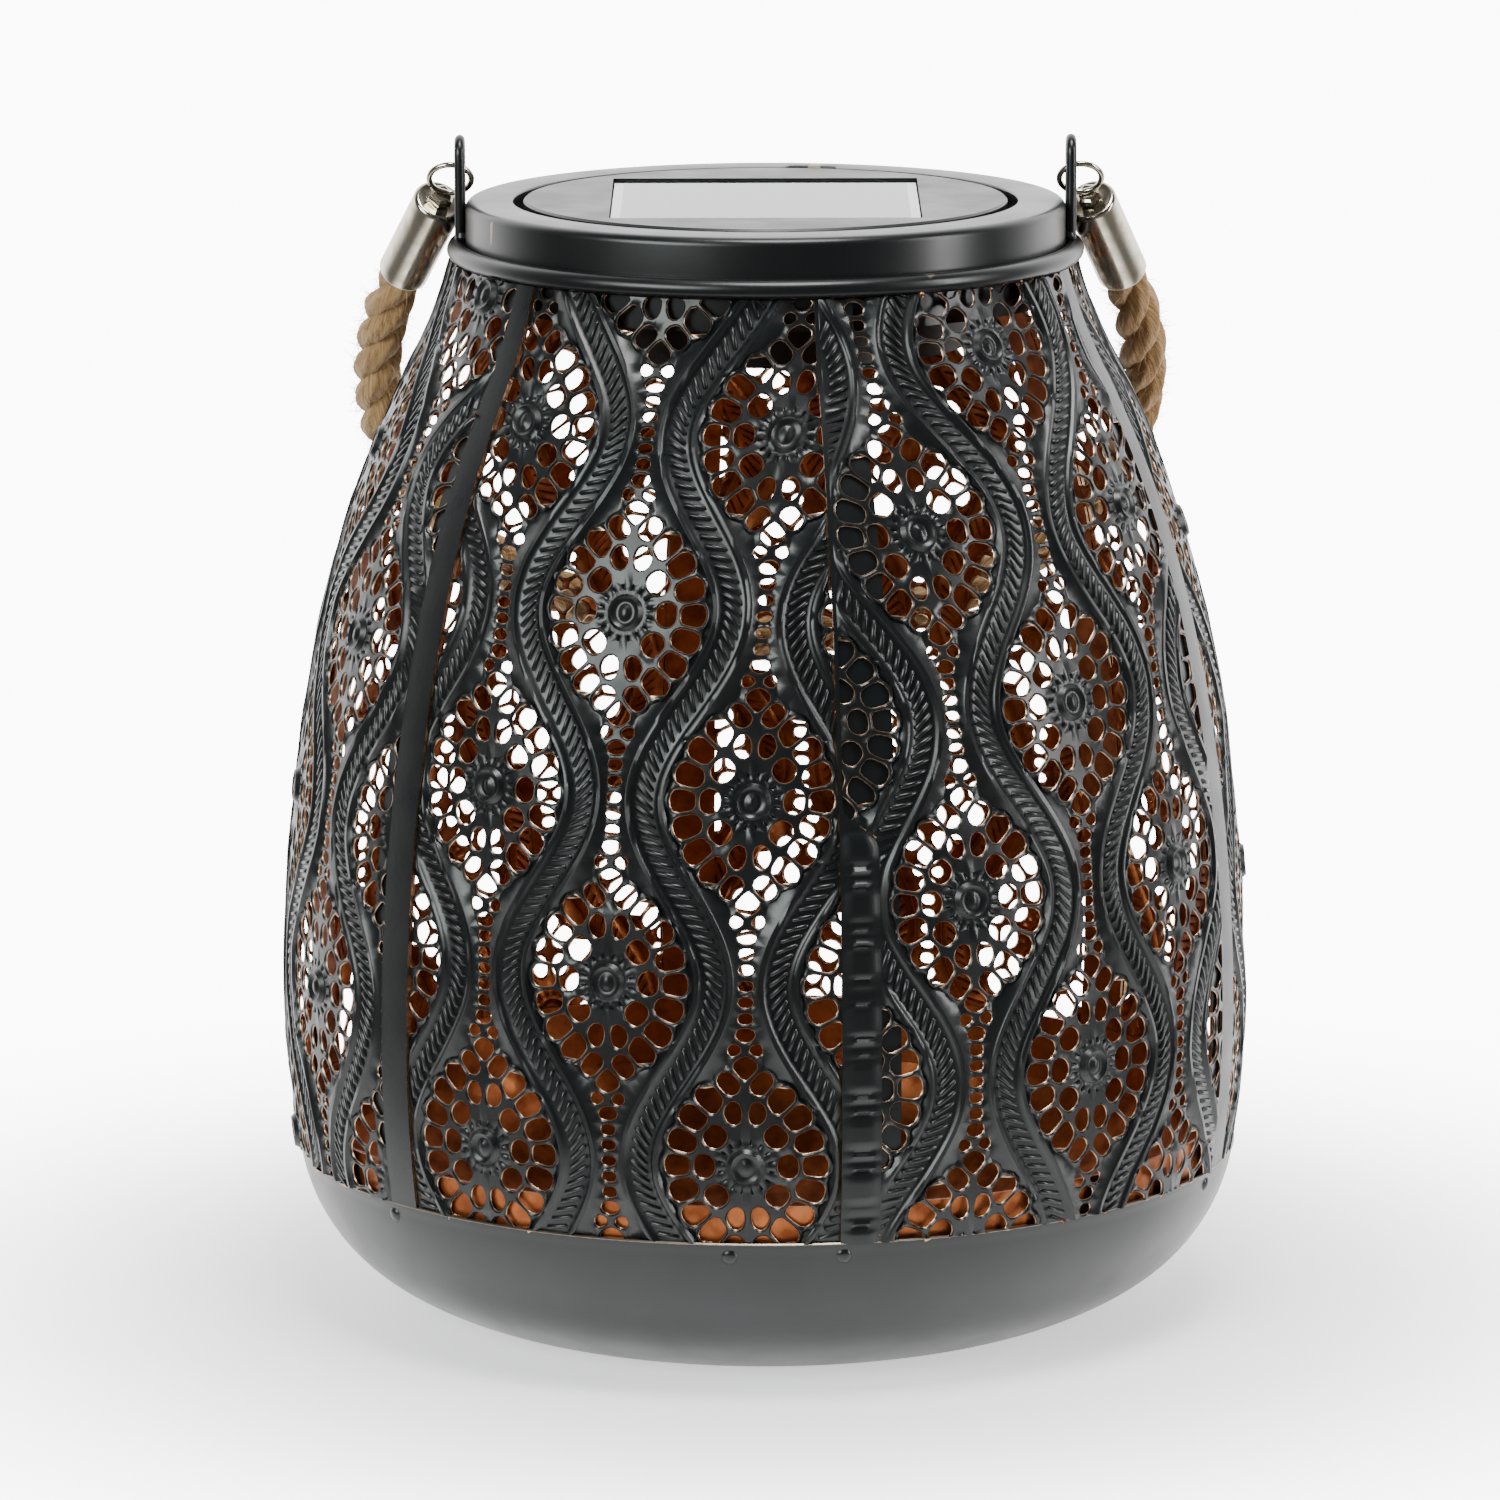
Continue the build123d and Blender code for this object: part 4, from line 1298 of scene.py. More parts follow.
    def strip(
        self, tree: bpy.types.NodeTree, given: bpy.types.Node, outline: bpy.types.Node, side: int
    ) -> bpy.types.Node:
        """Make the plain strip along one seam edge, with crimps across the left one's lower half."""
        out = given.outputs
        grid = add_node(
            tree, "GeometryNodeMeshGrid", {"Size X": 1.0, "Size Y": 1.0, "Vertices X": 9, "Vertices Y": 230}
        )
        spot = add_node(tree, "ShaderNodeSeparateXYZ", {0: add_node(tree, "GeometryNodeInputPosition")})
        share = add_node(tree, "ShaderNodeMath", {0: spot.outputs[0], 1: 0.5}, operation="ADD")
        level = add_node(tree, "ShaderNodeMath", {0: spot.outputs[1], 1: 0.5}, operation="ADD")
        along = add_node(tree, "ShaderNodeMath", {0: level, 1: out["Length"]}, operation="MULTIPLY")
        whole, width, left = self.margins(tree, given, outline, along.outputs[0], side)
        start = add_node(tree, "ShaderNodeMath", {0: whole, 1: float(side)}, operation="MULTIPLY")
        from_edge = add_node(
            tree, "ShaderNodeMath", {0: share, 1: 1.0 if side > 0 else 0.0}, operation="SUBTRACT"
        )
        across = add_node(
            tree, "ShaderNodeMath", {0: from_edge, 1: width, 2: start}, operation="MULTIPLY_ADD"
        )
        turn = add_node(tree, "ShaderNodeMath", {0: along, 1: out["Crimp Pitch"]}, operation="DIVIDE")
        cycle = add_node(tree, "ShaderNodeMath", {0: turn}, operation="FRACT")
        away = add_node(tree, "ShaderNodeMath", {0: cycle, 1: 0.5}, operation="SUBTRACT")
        apart = add_node(tree, "ShaderNodeMath", {0: away}, operation="ABSOLUTE")
        twin = add_node(tree, "ShaderNodeMath", {0: apart, 1: 0.115}, operation="SUBTRACT")
        beside = add_node(tree, "ShaderNodeMath", {0: twin}, operation="ABSOLUTE")
        ridge = add_node(
            tree,
            "ShaderNodeMapRange",
            {"Value": beside, "From Min": 0.055, "From Max": 0.012, "To Max": 0.9},
            interpolation_type="SMOOTHSTEP",
        )
        swell = add_node(
            tree, "ShaderNodeMapRange", {"Value": apart, "From Min": 0.2, "From Max": 0.3},
            interpolation_type="SMOOTHSTEP",
        )
        shape = add_node(tree, "ShaderNodeMath", {0: ridge, 1: swell}, operation="MAXIMUM")
        inner = add_node(tree, "ShaderNodeMath", {0: from_edge}, operation="ABSOLUTE")
        flanks = [
            add_node(
                tree, "ShaderNodeMapRange", {"Value": inner, "From Min": far, "From Max": near},
                interpolation_type="SMOOTHSTEP",
            )
            for far, near in ((0.04, 0.3), (0.98, 0.74))
        ]
        middle = add_node(tree, "ShaderNodeMath", {0: flanks[0], 1: flanks[1]}, operation="MULTIPLY")
        pressed = add_node(tree, "ShaderNodeMath", {0: shape, 1: middle}, operation="MULTIPLY")
        kept = add_node(tree, "ShaderNodeMath", {0: pressed, 1: left}, operation="MULTIPLY")
        crimp = out["Crimp Height"] if side < 0 else 0.0
        raised = add_node(tree, "ShaderNodeMath", {0: kept, 1: crimp}, operation="MULTIPLY")
        place = add_node(tree, "ShaderNodeCombineXYZ", {0: across, 1: along, 2: raised})
        flat = grid.outputs["Mesh"]
        return add_node(tree, "GeometryNodeSetPosition", {"Geometry": flat, "Position": place})

    def bent(
        self, tree: bpy.types.NodeTree, given: bpy.types.Node, outline: bpy.types.Node, flat: bpy.types.Node
    ) -> bpy.types.Node:
        """Bend the flat sheet round the axis and along the outline."""
        out = given.outputs
        spot = add_node(tree, "ShaderNodeSeparateXYZ", {0: add_node(tree, "GeometryNodeInputPosition")})
        sample = add_node(
            tree,
            "GeometryNodeSampleCurve",
            {"Curves": outline.outputs["Geometry"], "Length": spot.outputs[1]},
            mode="LENGTH",
        )
        normal = add_node(
            tree,
            "ShaderNodeVectorMath",
            {0: (0.0, 1.0, 0.0), 1: sample.outputs["Tangent"]},
            operation="CROSS_PRODUCT",
        )
        high = add_node(
            tree, "ShaderNodeMath", {0: spot.outputs[2], 1: out["Skin Inset"]}, operation="SUBTRACT"
        )
        section = add_node(
            tree,
            "ShaderNodeVectorMath",
            {0: normal, 1: high, 2: sample.outputs["Position"]},
            operation="MULTIPLY_ADD",
        )
        radius = add_node(tree, "ShaderNodeSeparateXYZ", {0: sample.outputs["Position"]})
        angle = add_node(tree, "ShaderNodeMath", {0: spot.outputs[0], 1: radius}, operation="DIVIDE")
        start = add_node(tree, "ShaderNodeMath", {0: out["Azimuth"], 1: math.pi / 2}, operation="SUBTRACT")
        turn = add_node(tree, "ShaderNodeMath", {0: angle, 1: start}, operation="ADD")
        place = add_node(
            tree, "ShaderNodeVectorRotate", {"Vector": section, "Angle": turn}, rotation_type="Z_AXIS"
        )
        moved = add_node(tree, "GeometryNodeSetPosition", {"Geometry": flat, "Position": place})
        return add_node(tree, "GeometryNodeMergeByDistance", {"Geometry": moved, "Distance": 0.01 * MM})

    def build(self) -> list[bpy.types.Object]:
        """Make the six panels, each a plain mesh with its thickness and three finishes."""
        tiles = [self.even_tile.build("even_tile"), self.odd_tile.build("odd_tile")]
        outline = self.profile.curve_object()
        tree = self.tree()
        made = []
        for panel in self.panels:
            piece = new_object(f"perforated_panel_{panel.number}", bpy.data.meshes.new("start"))
            nodes = piece.modifiers.new("pattern", "NODES")
            nodes.node_group = tree
            over = panel.lap is Lap.OVER
            values = {
                "Even Tile": tiles[0],
                "Odd Tile": tiles[1],
                "Outline": outline,
                "Paint": Finishes.BLACK_PAINT(),
                "Azimuth": math.radians(panel.azimuth),
                "Half Angle": math.radians(self.half_angles[panel.lap]),
                "Skin Inset": 0.0 if over else self.under_inset,
                "Column Pitch": self.even_tile.column_pitch * MM,
                "Row Pitch": self.even_tile.row_pitch * MM,
                "Column Phase": panel.column_phase,
                "Row Phase": panel.row_phase,
                "Columns": self.columns,
                "Rows": self.rows,
                "Strip Angle": math.radians(self.strip_angles[panel.lap]),
                "Left Strip Top": self.left_strip_tops[panel.lap],
                "Right Strip Top": self.right_strip_top,
                "Crimp Pitch": self.crimp_pitch,
                "Crimp Height": self.crimp_height if over else 0.0,
                "Length": self.profile.length(),
                "Unevenness": self.unevenness,
                "Seed": float(panel.number),
            }
            set_inputs(nodes, values)
            bake_modifiers(piece)
            for finish in (Finishes.BLACK_PAINT, Finishes.COPPER_LACQUER, Finishes.CUT_EDGE):
                if finish() not in piece.data.materials[:]:
                    piece.data.materials.append(finish())
            wall = piece.modifiers.new("sheet", "SOLIDIFY")
            wall.thickness = self.sheet
            wall.offset = -1.0
            wall.material_offset = 1
            wall.material_offset_rim = 2
            bake_modifiers(piece)
            shade(piece.data, 50.0)
            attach(piece, "lantern")
            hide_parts(f"shell_panel_{panel.number}")
            piece.data.calc_loop_triangles()
            log.info("%s: %d triangles", piece.name, len(piece.data.loop_triangles))
            made.append(piece)
        for helper in (*tiles, outline):
            bpy.data.objects.remove(helper)
        return made


@dataclass
class Bowl:
    """The spun bowl under the panels: a flat foot, a shallow floor arc and a tighter side arc."""

    rim_height: float = ShellProfile.rim_height
    sheet: float = 0.0008
    side_arc: float = 0.0335
    side_centre: Point = (0.0546, 0.0345)
    side_turn: float = 56.7
    floor_arc: float = 0.051
    lip: float = 0.00022
    spots: tuple[float, ...] = (-4.5, 9.0, 68.0, 129.0, 189.0, 248.0, 309.0)

    def section(self) -> list[Point]:
        """Return the bowl's section, from the rim down the outside and back up the inside."""
        rim = math.degrees(math.asin((self.side_centre[1] - self.rim_height) / self.side_arc))
        turn = math.radians(self.side_turn)
        step = self.side_arc - self.floor_arc
        floor_centre = (
            self.side_centre[0] + step * math.cos(turn), self.side_centre[1] - step * math.sin(turn)
        )
        foot = math.degrees(math.asin(floor_centre[1] / self.floor_arc))
        inner_arc = self.floor_arc - self.sheet
        inner_foot = math.degrees(math.asin((floor_centre[1] - self.sheet) / inner_arc))
        outside = arc(self.side_centre, self.side_arc, -rim, -self.side_turn, 22)
        outside += arc(floor_centre, self.floor_arc, -self.side_turn, -foot, 12)[1:]
        inside_line = arc(floor_centre, inner_arc, -inner_foot, -self.side_turn, 12)
        inside_line += arc(self.side_centre, self.side_arc - self.sheet, -self.side_turn, -rim, 22)[1:]
        edge = outside[0][0]
        lip = [(edge - self.sheet, self.rim_height + self.lip), (edge, self.rim_height + self.lip),
               (edge + self.lip, self.rim_height), (edge + self.lip, self.rim_height - self.lip)]
        across = [(outside[-1][0] * share, 0.0) for share in (0.66, 0.33)]
        back = [(outside[-1][0] * share, self.sheet) for share in (0.33, 0.66)]
        return lip + outside[1:] + across + [(0.0, 0.0), (0.0, self.sheet)] + back + inside_line[:-1]

    def build(self) -> bpy.types.Object:
        """Make the bowl, satin black outside and copper inside, with weld spots and a painted highlight: a
        pale metal ring round the lip.
        """
        points, faces = lathe(self.section(), turns=256)
        shell = mesh_object("bowl", points, faces, Finishes.SATIN_BLACK)
        # Painted highlight: the pale metal tone laid in a ring along the lip, standing in for the light that
        # the lip line catches.
        set_wear_and_highlight(shell, lambda p: smoothstep(self.rim_height - 0.0004, self.rim_height + 0.0001, p[:, 2]))

        def faces_in(middles: np.ndarray, normals: np.ndarray) -> np.ndarray:
            """Tell which faces look inwards or up."""
            outward = middles[:, 0] * normals[:, 0] + middles[:, 1] * normals[:, 1]
            return ((outward < 0) | (normals[:, 2] > 0.5)) & (middles[:, 2] < self.rim_height - 0.0002)

        dress_where(shell, Finishes.COPPER_LACQUER, faces_in)
        spots = [self.weld_spot(azimuth) for azimuth in self.spots]
        piece = join("spun_bowl", [shell, *spots])
        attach(piece, "lantern")
        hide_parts("base_bowl")
        return piece

    def weld_spot(self, azimuth: float) -> bpy.types.Object:
        """Make the low painted bump that a spot weld leaves under the lip."""
        turn = math.radians(azimuth)
        height = self.rim_height - 0.0024
        drop = math.asin((self.side_centre[1] - height) / self.side_arc)
        radius = self.side_centre[0] + self.side_arc * math.cos(drop)
        out = Vector((math.sin(turn) * math.cos(drop), -math.cos(turn) * math.cos(drop), -math.sin(drop)))
        place = Vector((radius * math.sin(turn), -radius * math.cos(turn), height))
        dome = [(0.0, -0.0004), (0.0016, -0.0004), (0.0014, 0.0), (0.001, 0.00032), (0.0005, 0.00046),
                (0.0, 0.0005)]
        points, faces = lathe(dome, turns=18)
        return mesh_object("weld_spot", turned_to(points, place, out), faces, Finishes.SATIN_BLACK)


@dataclass
class Collar:
    """The pressed collar: spigot, bead, wall, top, inner lip with its finger notch, and the lid's seat."""

    top: float = 0.207
    radius: float = 0.0555
    hole: float = 0.0466
    sheet: float = 0.0008
    round: float = 0.0016
    bead: float = 0.0018
    bead_centre: Point = (0.0571, 0.198)
    spigot: float = 0.0561
    spigot_low: float = 0.1902
    seat_top: float = 0.2023
    seat_hole: float = 0.0425
    notch_azimuth: float = 169.0
    notch_width: float = 0.0088
    notch_reach: float = 0.049

    def section(self) -> list[Point]:
        """Return the collar's closed section."""
        low = math.degrees(math.acos((self.spigot - self.bead_centre[0]) / self.bead))
        high = math.degrees(math.acos((self.radius - self.bead_centre[0]) / self.bead))
        corner = (self.radius - self.round, self.top - self.round)
        lip = 0.0004
        wall_in = self.radius - self.sheet
        under = self.top - self.sheet
        seat_low = self.seat_top - self.sheet
        outside = [(self.spigot, self.spigot_low)]
        outside += arc(self.bead_centre, self.bead, -low, high, 22)
        outside += arc(corner, self.round, 0, 90, 8)
        outside += [(self.radius - 0.004, self.top + 0.00012), (self.hole + 0.003, self.top + 0.00012)]
        outside += arc((self.hole + lip, self.top - lip), lip, 90, 180, 4)
        seat = [(self.hole, self.seat_top + 0.0003), (self.hole - 0.0003, self.seat_top),
                (self.seat_hole, self.seat_top), (self.seat_hole, seat_low),
                (self.hole + self.sheet, seat_low), (self.hole + self.sheet, under)]
        inner = [(wall_in - 0.0008, under), (wall_in, under - 0.0008), (wall_in, self.bead_centre[1]),
                 (self.spigot - self.sheet, self.bead_centre[1]), (self.spigot - self.sheet, self.spigot_low)]
        return outside + seat + inner

    def notched(self, azimuth: float, radius: float, height: float) -> Point:
        """Widen the hole at the notch, in the top and the inner lip only."""
        away = abs((azimuth - math.radians(self.notch_azimuth) + math.pi) % (2 * math.pi) - math.pi)
        in_lip = self.hole - 0.0001 < radius < self.hole + 0.0031 and height > self.seat_top + 0.0002
        if in_lip and away * self.hole < self.notch_width / 2:
            return max(radius, self.notch_reach + (radius - self.hole) * 0.3), height
        return radius, height

    def build(self) -> bpy.types.Object:
        """Make the collar, with small chips in the paint at the bead and the lip."""
        points, faces = lathe(self.section(), turns=320, reshape=self.notched)
        piece = mesh_object("pressed_collar", points, faces, Finishes.SATIN_BLACK, sharp=40.0)

        def chipped(p: np.ndarray) -> np.ndarray:
            """Wear the paint through at a few places on the wall, the bead and round the notch."""
            azimuth = np.degrees(np.arctan2(p[:, 0], -p[:, 1]))
            chips = ((30.5, 0.2003, 1.3), (-64.0, 0.2052, 0.9), (169.0, 0.2068, 1.5), (101.0, 0.1972, 1.0))
            wear = np.zeros(len(p))
            for centre, height, size in chips:
                along = np.abs((azimuth - centre + 180) % 360 - 180) * self.radius * 1000 * math.pi / 180
                gap = np.hypot(along, (p[:, 2] - height) * 1000)
                wear = np.maximum(wear, 1 - smoothstep(size * 0.5, size * 1.3, gap))
            return wear

        set_wear_and_highlight(piece, chipped)
        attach(piece, "lantern")
        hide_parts("collar")
        return piece


class Side(Enum):
    """The lantern's two sides, as the sign of X."""

    RIGHT = 1
    LEFT = -1


@dataclass
class Handle:
    """The ears on the collar, and what swings from them: screw eyes, ferrules and the rope."""

    hinge_height: float = 0.2134
    lean: float = math.radians(41.5)
    ear_wire: float = 0.00095
    ear_x: float = 0.05639
    ear_half_width: float = 0.0027
    ear_foot: float = 0.19995
    ear_top: float = 0.219
    ring_radius: float = 0.0039
    ring_wire: float = 0.00055
    ring_offset: float = 0.05825
    neck_across: float = 0.0042
    neck_length: float = 0.0019
    ferrule_radius: float = 0.00475
    ferrule_length: float = 0.0215
    ferrule_crown: float = 0.0026
    ferrule_wall: float = 0.00065
    outward: dict[Side, float] = field(default_factory=lambda: {Side.RIGHT: 18.0, Side.LEFT: 20.0})
    rope_diameter: float = 0.009
    rope_length: float = 0.3018
    first_run: float = 0.022
    strand_lay: float = 0.027
    strand_share: float = 0.262
    strand_sides: int = 32
    strand_rings: int = 460
    yarn_count: int = 6
    yarn_lay: float = 0.011

    @property
    def downward(self) -> Vector:
        """The direction in the handle's plane that leads away from the hinge line."""
        return Vector((0.0, math.sin(self.lean), -math.cos(self.lean)))

    def in_handle(self, x: float, drop: float) -> Vector:
        """Return a point of the handle's plane: x sideways, drop away from the hinge line."""
        return Vector((x, 0.0, self.hinge_height)) + self.downward * drop

    def heading(self, side: Side) -> Vector:
        """Return the direction in which a ferrule hangs."""
        out = math.radians(self.outward[side])
        return Vector((side.value * math.sin(out), 0.0, 0.0)) + self.downward * math.cos(out)

    def ferrule_face(self, side: Side) -> Vector:
        """Return the middle of a ferrule's closed end."""
        middle = self.in_handle(side.value * self.ring_offset, self.ring_radius)
        reach = self.ring_radius + self.ring_wire + self.neck_length
        return middle + self.heading(side) * reach

    def ear(self, side: Side) -> bpy.types.Object:
        """Make a hairpin of black wire, its legs against the collar, with a braze blob at each foot."""
        crown = self.ear_top - self.ear_wire - self.ear_half_width
        x = side.value * self.ear_x
        half = self.ear_half_width
        bend = [(x, -half * math.cos(t), crown + half * math.sin(t)) for t in np.linspace(0, math.pi, 17)]
        legs = np.linspace(self.ear_foot, crown, 9)[:-1]
        front = [(x, -half, z) for z in legs]
        back = [(x, half, z) for z in legs[::-1]]
        points, faces = tube(np.array(front + bend + back), self.ear_wire, sides=16)
        loop = mesh_object("loop", points, faces, Finishes.SATIN_BLACK)
        blobs = []
        for sign in (1, -1):
            inward = side.value * (self.ear_x - 0.0004)
            foot = Vector((inward, sign * half, self.ear_foot + 0.0004))
            blob = [(0.0, -0.0011), (0.0009, -0.0008), (0.00135, 0.0), (0.0011, 0.0008), (0.0, 0.0012)]
            corners, sides = lathe(blob, turns=16)
            blobs.append(mesh_object("braze", turned_to(corners, foot, UP), sides, Finishes.SATIN_BLACK))
        piece = join(f"hairpin_ear_{side.name.lower()}", [loop, *blobs])
        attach(piece, "lantern")
        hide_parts(f"ear_{side.name.lower()}")
        return piece

    def eye(self, side: Side) -> bpy.types.Object:
        """Make a nickel-plated screw eye: a wire ring on a hexagonal neck with chamfered ends."""
        along = self.heading(side)
        middle = self.in_handle(side.value * self.ring_offset, self.ring_radius)
        turns = np.arange(48) * 2 * math.pi / 48
        normal = Vector((side.value, 0, 0)).cross(self.downward)
        square = normal.cross(along).normalized()
        path = [middle + (along * math.cos(t) + square * math.sin(t)) * self.ring_radius for t in turns]
        points, faces = tube(np.array(path), self.ring_wire, sides=14, closed=True)
        ring = mesh_object("ring", points, faces, Finishes.NICKEL)
        flat = self.neck_across / 2 / math.cos(math.pi / 6)
        neck = [(0.0, 0.0), (flat * 0.8, 0.0), (flat, 0.0003), (flat, self.neck_length - 0.0003),
                (flat * 0.85, self.neck_length), (0.0, self.neck_length)]
        base = middle + along * (self.ring_radius + self.ring_wire * 0.8)
        corners, sides = lathe(neck, turns=6)
        nut = mesh_object("nut", turned_to(corners, base, along), sides, Finishes.NICKEL, sharp=25.0)
        piece = join(f"screw_eye_{side.name.lower()}", [ring, nut])
        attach(piece, "handle")
        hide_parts(f"eye_{side.name.lower()}")
        return piece

    def ferrule(self, side: Side) -> bpy.types.Object:
        """Make a drawn ferrule with a rounded crown and a thin rolled mouth."""
        radius, length, wall = self.ferrule_radius, self.ferrule_length, self.ferrule_wall
        edge = 0.0008
        section = [(0.0, 0.0), (0.0014, 0.0), (0.0016, 0.00012), (radius - edge - 0.0004, 0.00012)]
        section += arc((radius - edge, edge), edge, -90, 0, 6)
        section += [(radius, length * share) for share in (0.3, 0.6, 0.9)]
        section += arc((radius - wall / 2, length - wall / 2), wall / 2, 0, 180, 8)
        section += [(radius - wall, self.ferrule_crown), (0.0, self.ferrule_crown)]
        points, faces = lathe(section, turns=72)
        placed = turned_to(points, self.ferrule_face(side), self.heading(side))
        piece = mesh_object(f"drawn_ferrule_{side.name.lower()}", placed, faces, Finishes.NICKEL)
        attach(piece, "handle")
        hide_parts(f"ferrule_{side.name.lower()}")
        return piece

    def route(self) -> np.ndarray:
        """Return the points of the rope's smooth middle line, from the right ferrule to the left one."""
        starts = {s: self.ferrule_face(s) + self.heading(s) * self.ferrule_length for s in Side}
        corners = [
            starts[Side.RIGHT],
            starts[Side.RIGHT] + self.heading(Side.RIGHT) * self.first_run,
            self.in_handle(0.068, 0.090),
            self.in_handle(0.045, 0.1245),
            self.in_handle(-0.001, 0.1465),
            self.in_handle(-0.048, 0.1245),
            self.in_handle(-0.0715, 0.090),
            starts[Side.LEFT] + self.heading(Side.LEFT) * self.first_run,
            starts[Side.LEFT],
        ]
        curve = bpy.data.curves.new("rope_line", "CURVE")
        curve.dimensions = "3D"
        curve.resolution_u = 40
        spline = curve.splines.new("NURBS")
        spline.points.add(len(corners) - 1)
        for corner, place in zip(spline.points, corners):
            corner.co = (*place, 1.0)
        spline.order_u = 3
        spline.use_endpoint_u = True
        holder = new_object("rope_line", curve)
        line = bpy.data.meshes.new_from_object(holder)
        points = np.array([v.co for v in line.vertices])
        bpy.data.objects.remove(holder)
        return points

    def rope(self) -> bpy.types.Object:
        """Lay three twisted strands along the route, and scatter loose fibres over them."""
        line = self.route()
        gaps = np.linalg.norm(np.diff(line, axis=0), axis=1)
        reach = np.concatenate([[0], np.cumsum(gaps)])
        total = reach[-1]
        length = np.linspace(0.0, total, self.strand_rings)
        count = self.strand_sides
        path = np.stack([np.interp(length, reach, line[:, k]) for k in range(3)], axis=1)
        first, second = frames(path)
        from_end = np.minimum(length, total - length)
        squeeze = 0.87 + 0.13 * smoothstep(0.0, 0.012, from_end)
        strand_radius = self.rope_diameter * self.strand_share
        strands = []
        for number in range(3):
            turn = 2 * math.pi * (length / self.strand_lay + number / 3)
            sway = self.rope_diameter / 2 - strand_radius
            centre = path + (first * np.cos(turn)[:, None] + second * np.sin(turn)[:, None]) * (
                sway * squeeze
            )[:, None]
            sides = np.arange(count) * 2 * math.pi / count
            yarn = np.cos(self.yarn_count * sides[None] + 2 * math.pi * length[:, None] / self.yarn_lay)
            radius = strand_radius * squeeze[:, None] * (1 + 0.075 * yarn)
            points, faces = tube(centre, radius, sides=count)
            mesh = bpy.data.meshes.new("strand")
            mesh.from_pydata([tuple(p) for p in points], [], faces)
            mapping = mesh.uv_layers.new(name="strand")
            for loop in mesh.loops:
                ring, side = divmod(loop.vertex_index, count)
                mapping.data[loop.index].uv = (side / count, length[ring])
            for closing in range(count - 1, len(mesh.polygons) - 2, count):
                for index in mesh.polygons[closing].loop_indices:
                    if mesh.loops[index].vertex_index % count == 0:
                        mapping.data[index].uv[0] = 1.0
            mesh.materials.append(Finishes.JUTE())
            shade(mesh, 80.0)
            strands.append(new_object("strand", mesh))
        piece = join("jute_rope", strands)
        fuzz = self.fuzz(piece)
        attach(piece, "handle")
        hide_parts("rope_handle")
        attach(fuzz, "handle")
        return piece

    def fuzz(self, strands: bpy.types.Object) -> bpy.types.Object:
        """Scatter short curved loose fibres over the strands with Geometry Nodes."""
        tree, given = geometry_tree(
            "loose_fibres",
            [("Strands", "Object"), ("Fibre", "Object"), ("Paint", "Material"), ("Density", "Float"),
             ("Seed", "Int")],
        )
        out = given.outputs
        source = add_node(tree, "GeometryNodeObjectInfo", {"Object": out["Strands"]})
        spots = add_node(
            tree,
            "GeometryNodeDistributePointsOnFaces",
            {"Mesh": source.outputs["Geometry"], "Density": out["Density"], "Seed": out["Seed"]},
        )
        tilt = add_node(
            tree,
            "FunctionNodeRandomValue",
            {0: (-1.15, -1.15, -math.pi), 1: (1.15, 1.15, math.pi), "Seed": out["Seed"]},
            data_type="FLOAT_VECTOR",
        )
        turned = add_node(
            tree,
            "FunctionNodeRotateRotation",
            {"Rotation": spots.outputs["Rotation"], "Rotate By": tilt.outputs[0]},
            rotation_space="LOCAL",
        )
        size = add_node(tree, "FunctionNodeRandomValue", {2: 0.4, 3: 1.5, "Seed": 7}, data_type="FLOAT")
        fibre = add_node(tree, "GeometryNodeObjectInfo", {"Object": out["Fibre"]})
        laid = add_node(
            tree,
            "GeometryNodeInstanceOnPoints",
            {"Points": spots.outputs["Points"], "Instance": fibre.outputs["Geometry"], "Rotation": turned,
             "Scale": size.outputs[1]},
        )
        real = add_node(tree, "GeometryNodeRealizeInstances", {0: laid})
        painted = add_node(tree, "GeometryNodeSetMaterial", {"Geometry": real, "Material": out["Paint"]})
        add_node(tree, "NodeGroupOutput", {0: painted})
        bow = np.linspace(0, 1, 5)
        path = np.stack([0.0009 * bow**2, 0 * bow, 0.0024 * bow - 0.0002], axis=1)
        points, faces = tube(path, 0.00005 * (1.15 - bow), sides=3)
        fibre_piece = mesh_object("fibre", points, faces, Finishes.JUTE_FUZZ)
        piece = new_object("jute_fuzz", bpy.data.meshes.new("start"))
        nodes = piece.modifiers.new("fibres", "NODES")
        nodes.node_group = tree
        set_inputs(
            nodes,
            {"Strands": strands, "Fibre": fibre_piece, "Paint": Finishes.JUTE_FUZZ(), "Density": 450000.0,
             "Seed": 3},
        )
        bake_modifiers(piece)
        bpy.data.objects.remove(fibre_piece)
        log.info("loose fibres: %d faces", len(piece.data.polygons))
        return piece

    def build(self) -> None:
        """Make both ears, both eyes, both ferrules and the rope."""
        self.rope()
        for side in Side:
            self.ear(side)
            self.eye(side)
            self.ferrule(side)


@dataclass
class CarriedParts:
    """The frame's own nodes that keep their shape and get their finish here."""

    finishes: dict[str, Finishes] = field(
        default_factory=lambda: {
            "base_hoop": Finishes.COPPER_LACQUER,
            "lid_plate": Finishes.BLACK_ABS,
            "panel_board": Finishes.LAMINATE,
            "solar_cell": Finishes.SILICON,
            "panel_window": Finishes.CLEAR_RESIN,
            "lid_gasket": Finishes.RUBBER,
            "lamp_cup": Finishes.BLACK_ABS,
            "battery_cover": Finishes.BLACK_ABS,
            "cover_screw": Finishes.ZINC,
            "lid_screws": Finishes.ZINC,
            "battery": Finishes.SLEEVE,
            "contact_plate": Finishes.TINNED_COPPER,
            "contact_leaf": Finishes.TINNED_COPPER,
            "circuit_board": Finishes.LAMINATE,
            "panel_leads": Finishes.TINNED_COPPER,
            "led": Finishes.LAMP_EPOXY,
            "switch_body": Finishes.BLACK_ABS,
            "switch_slider": Finishes.ZINC,
        }
    )

    def dress(self) -> None:
        """Give every carried-over node its finish."""
        for name, finish in self.finishes.items():
            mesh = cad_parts[name].data
            mesh.materials.clear()
            mesh.materials.append(finish())


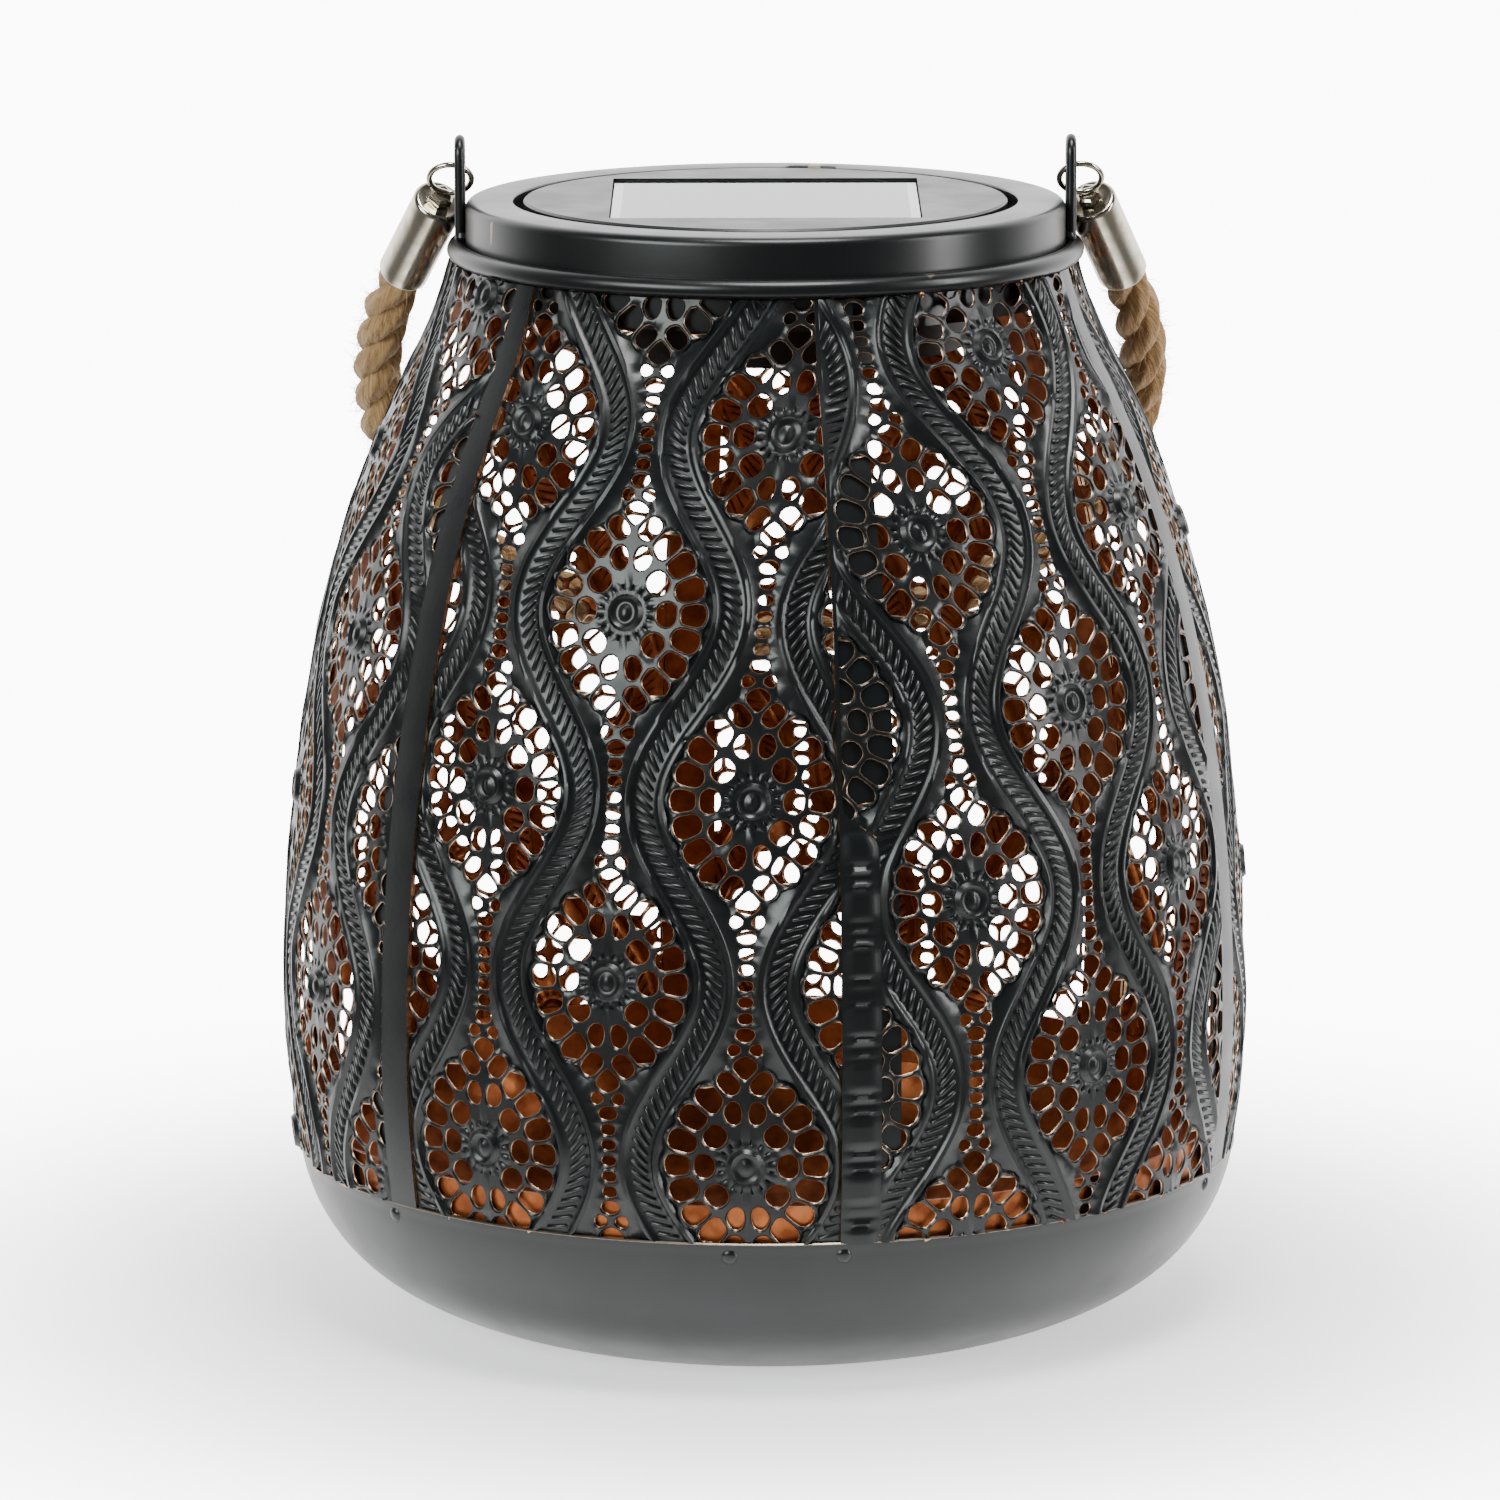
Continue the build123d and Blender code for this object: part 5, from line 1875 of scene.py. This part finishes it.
def main() -> None:
    """Build the studio and the lantern, piece by piece."""
    logging.basicConfig(level=logging.INFO, format="%(message)s")
    Studio().build()
    log.info("studio")
    Handle().build()
    log.info("handle")
    mirrored = PatternTile(rib_slant=-PatternTile.rib_slant)
    PerforatedShell(ShellProfile(), PatternTile(), mirrored).build()
    log.info("shell")
    Collar().build()
    log.info("collar")
    Bowl().build()
    log.info("bowl")
    CarriedParts().dress()
    log.info("inner parts")


if __name__ == "__main__":
    main()
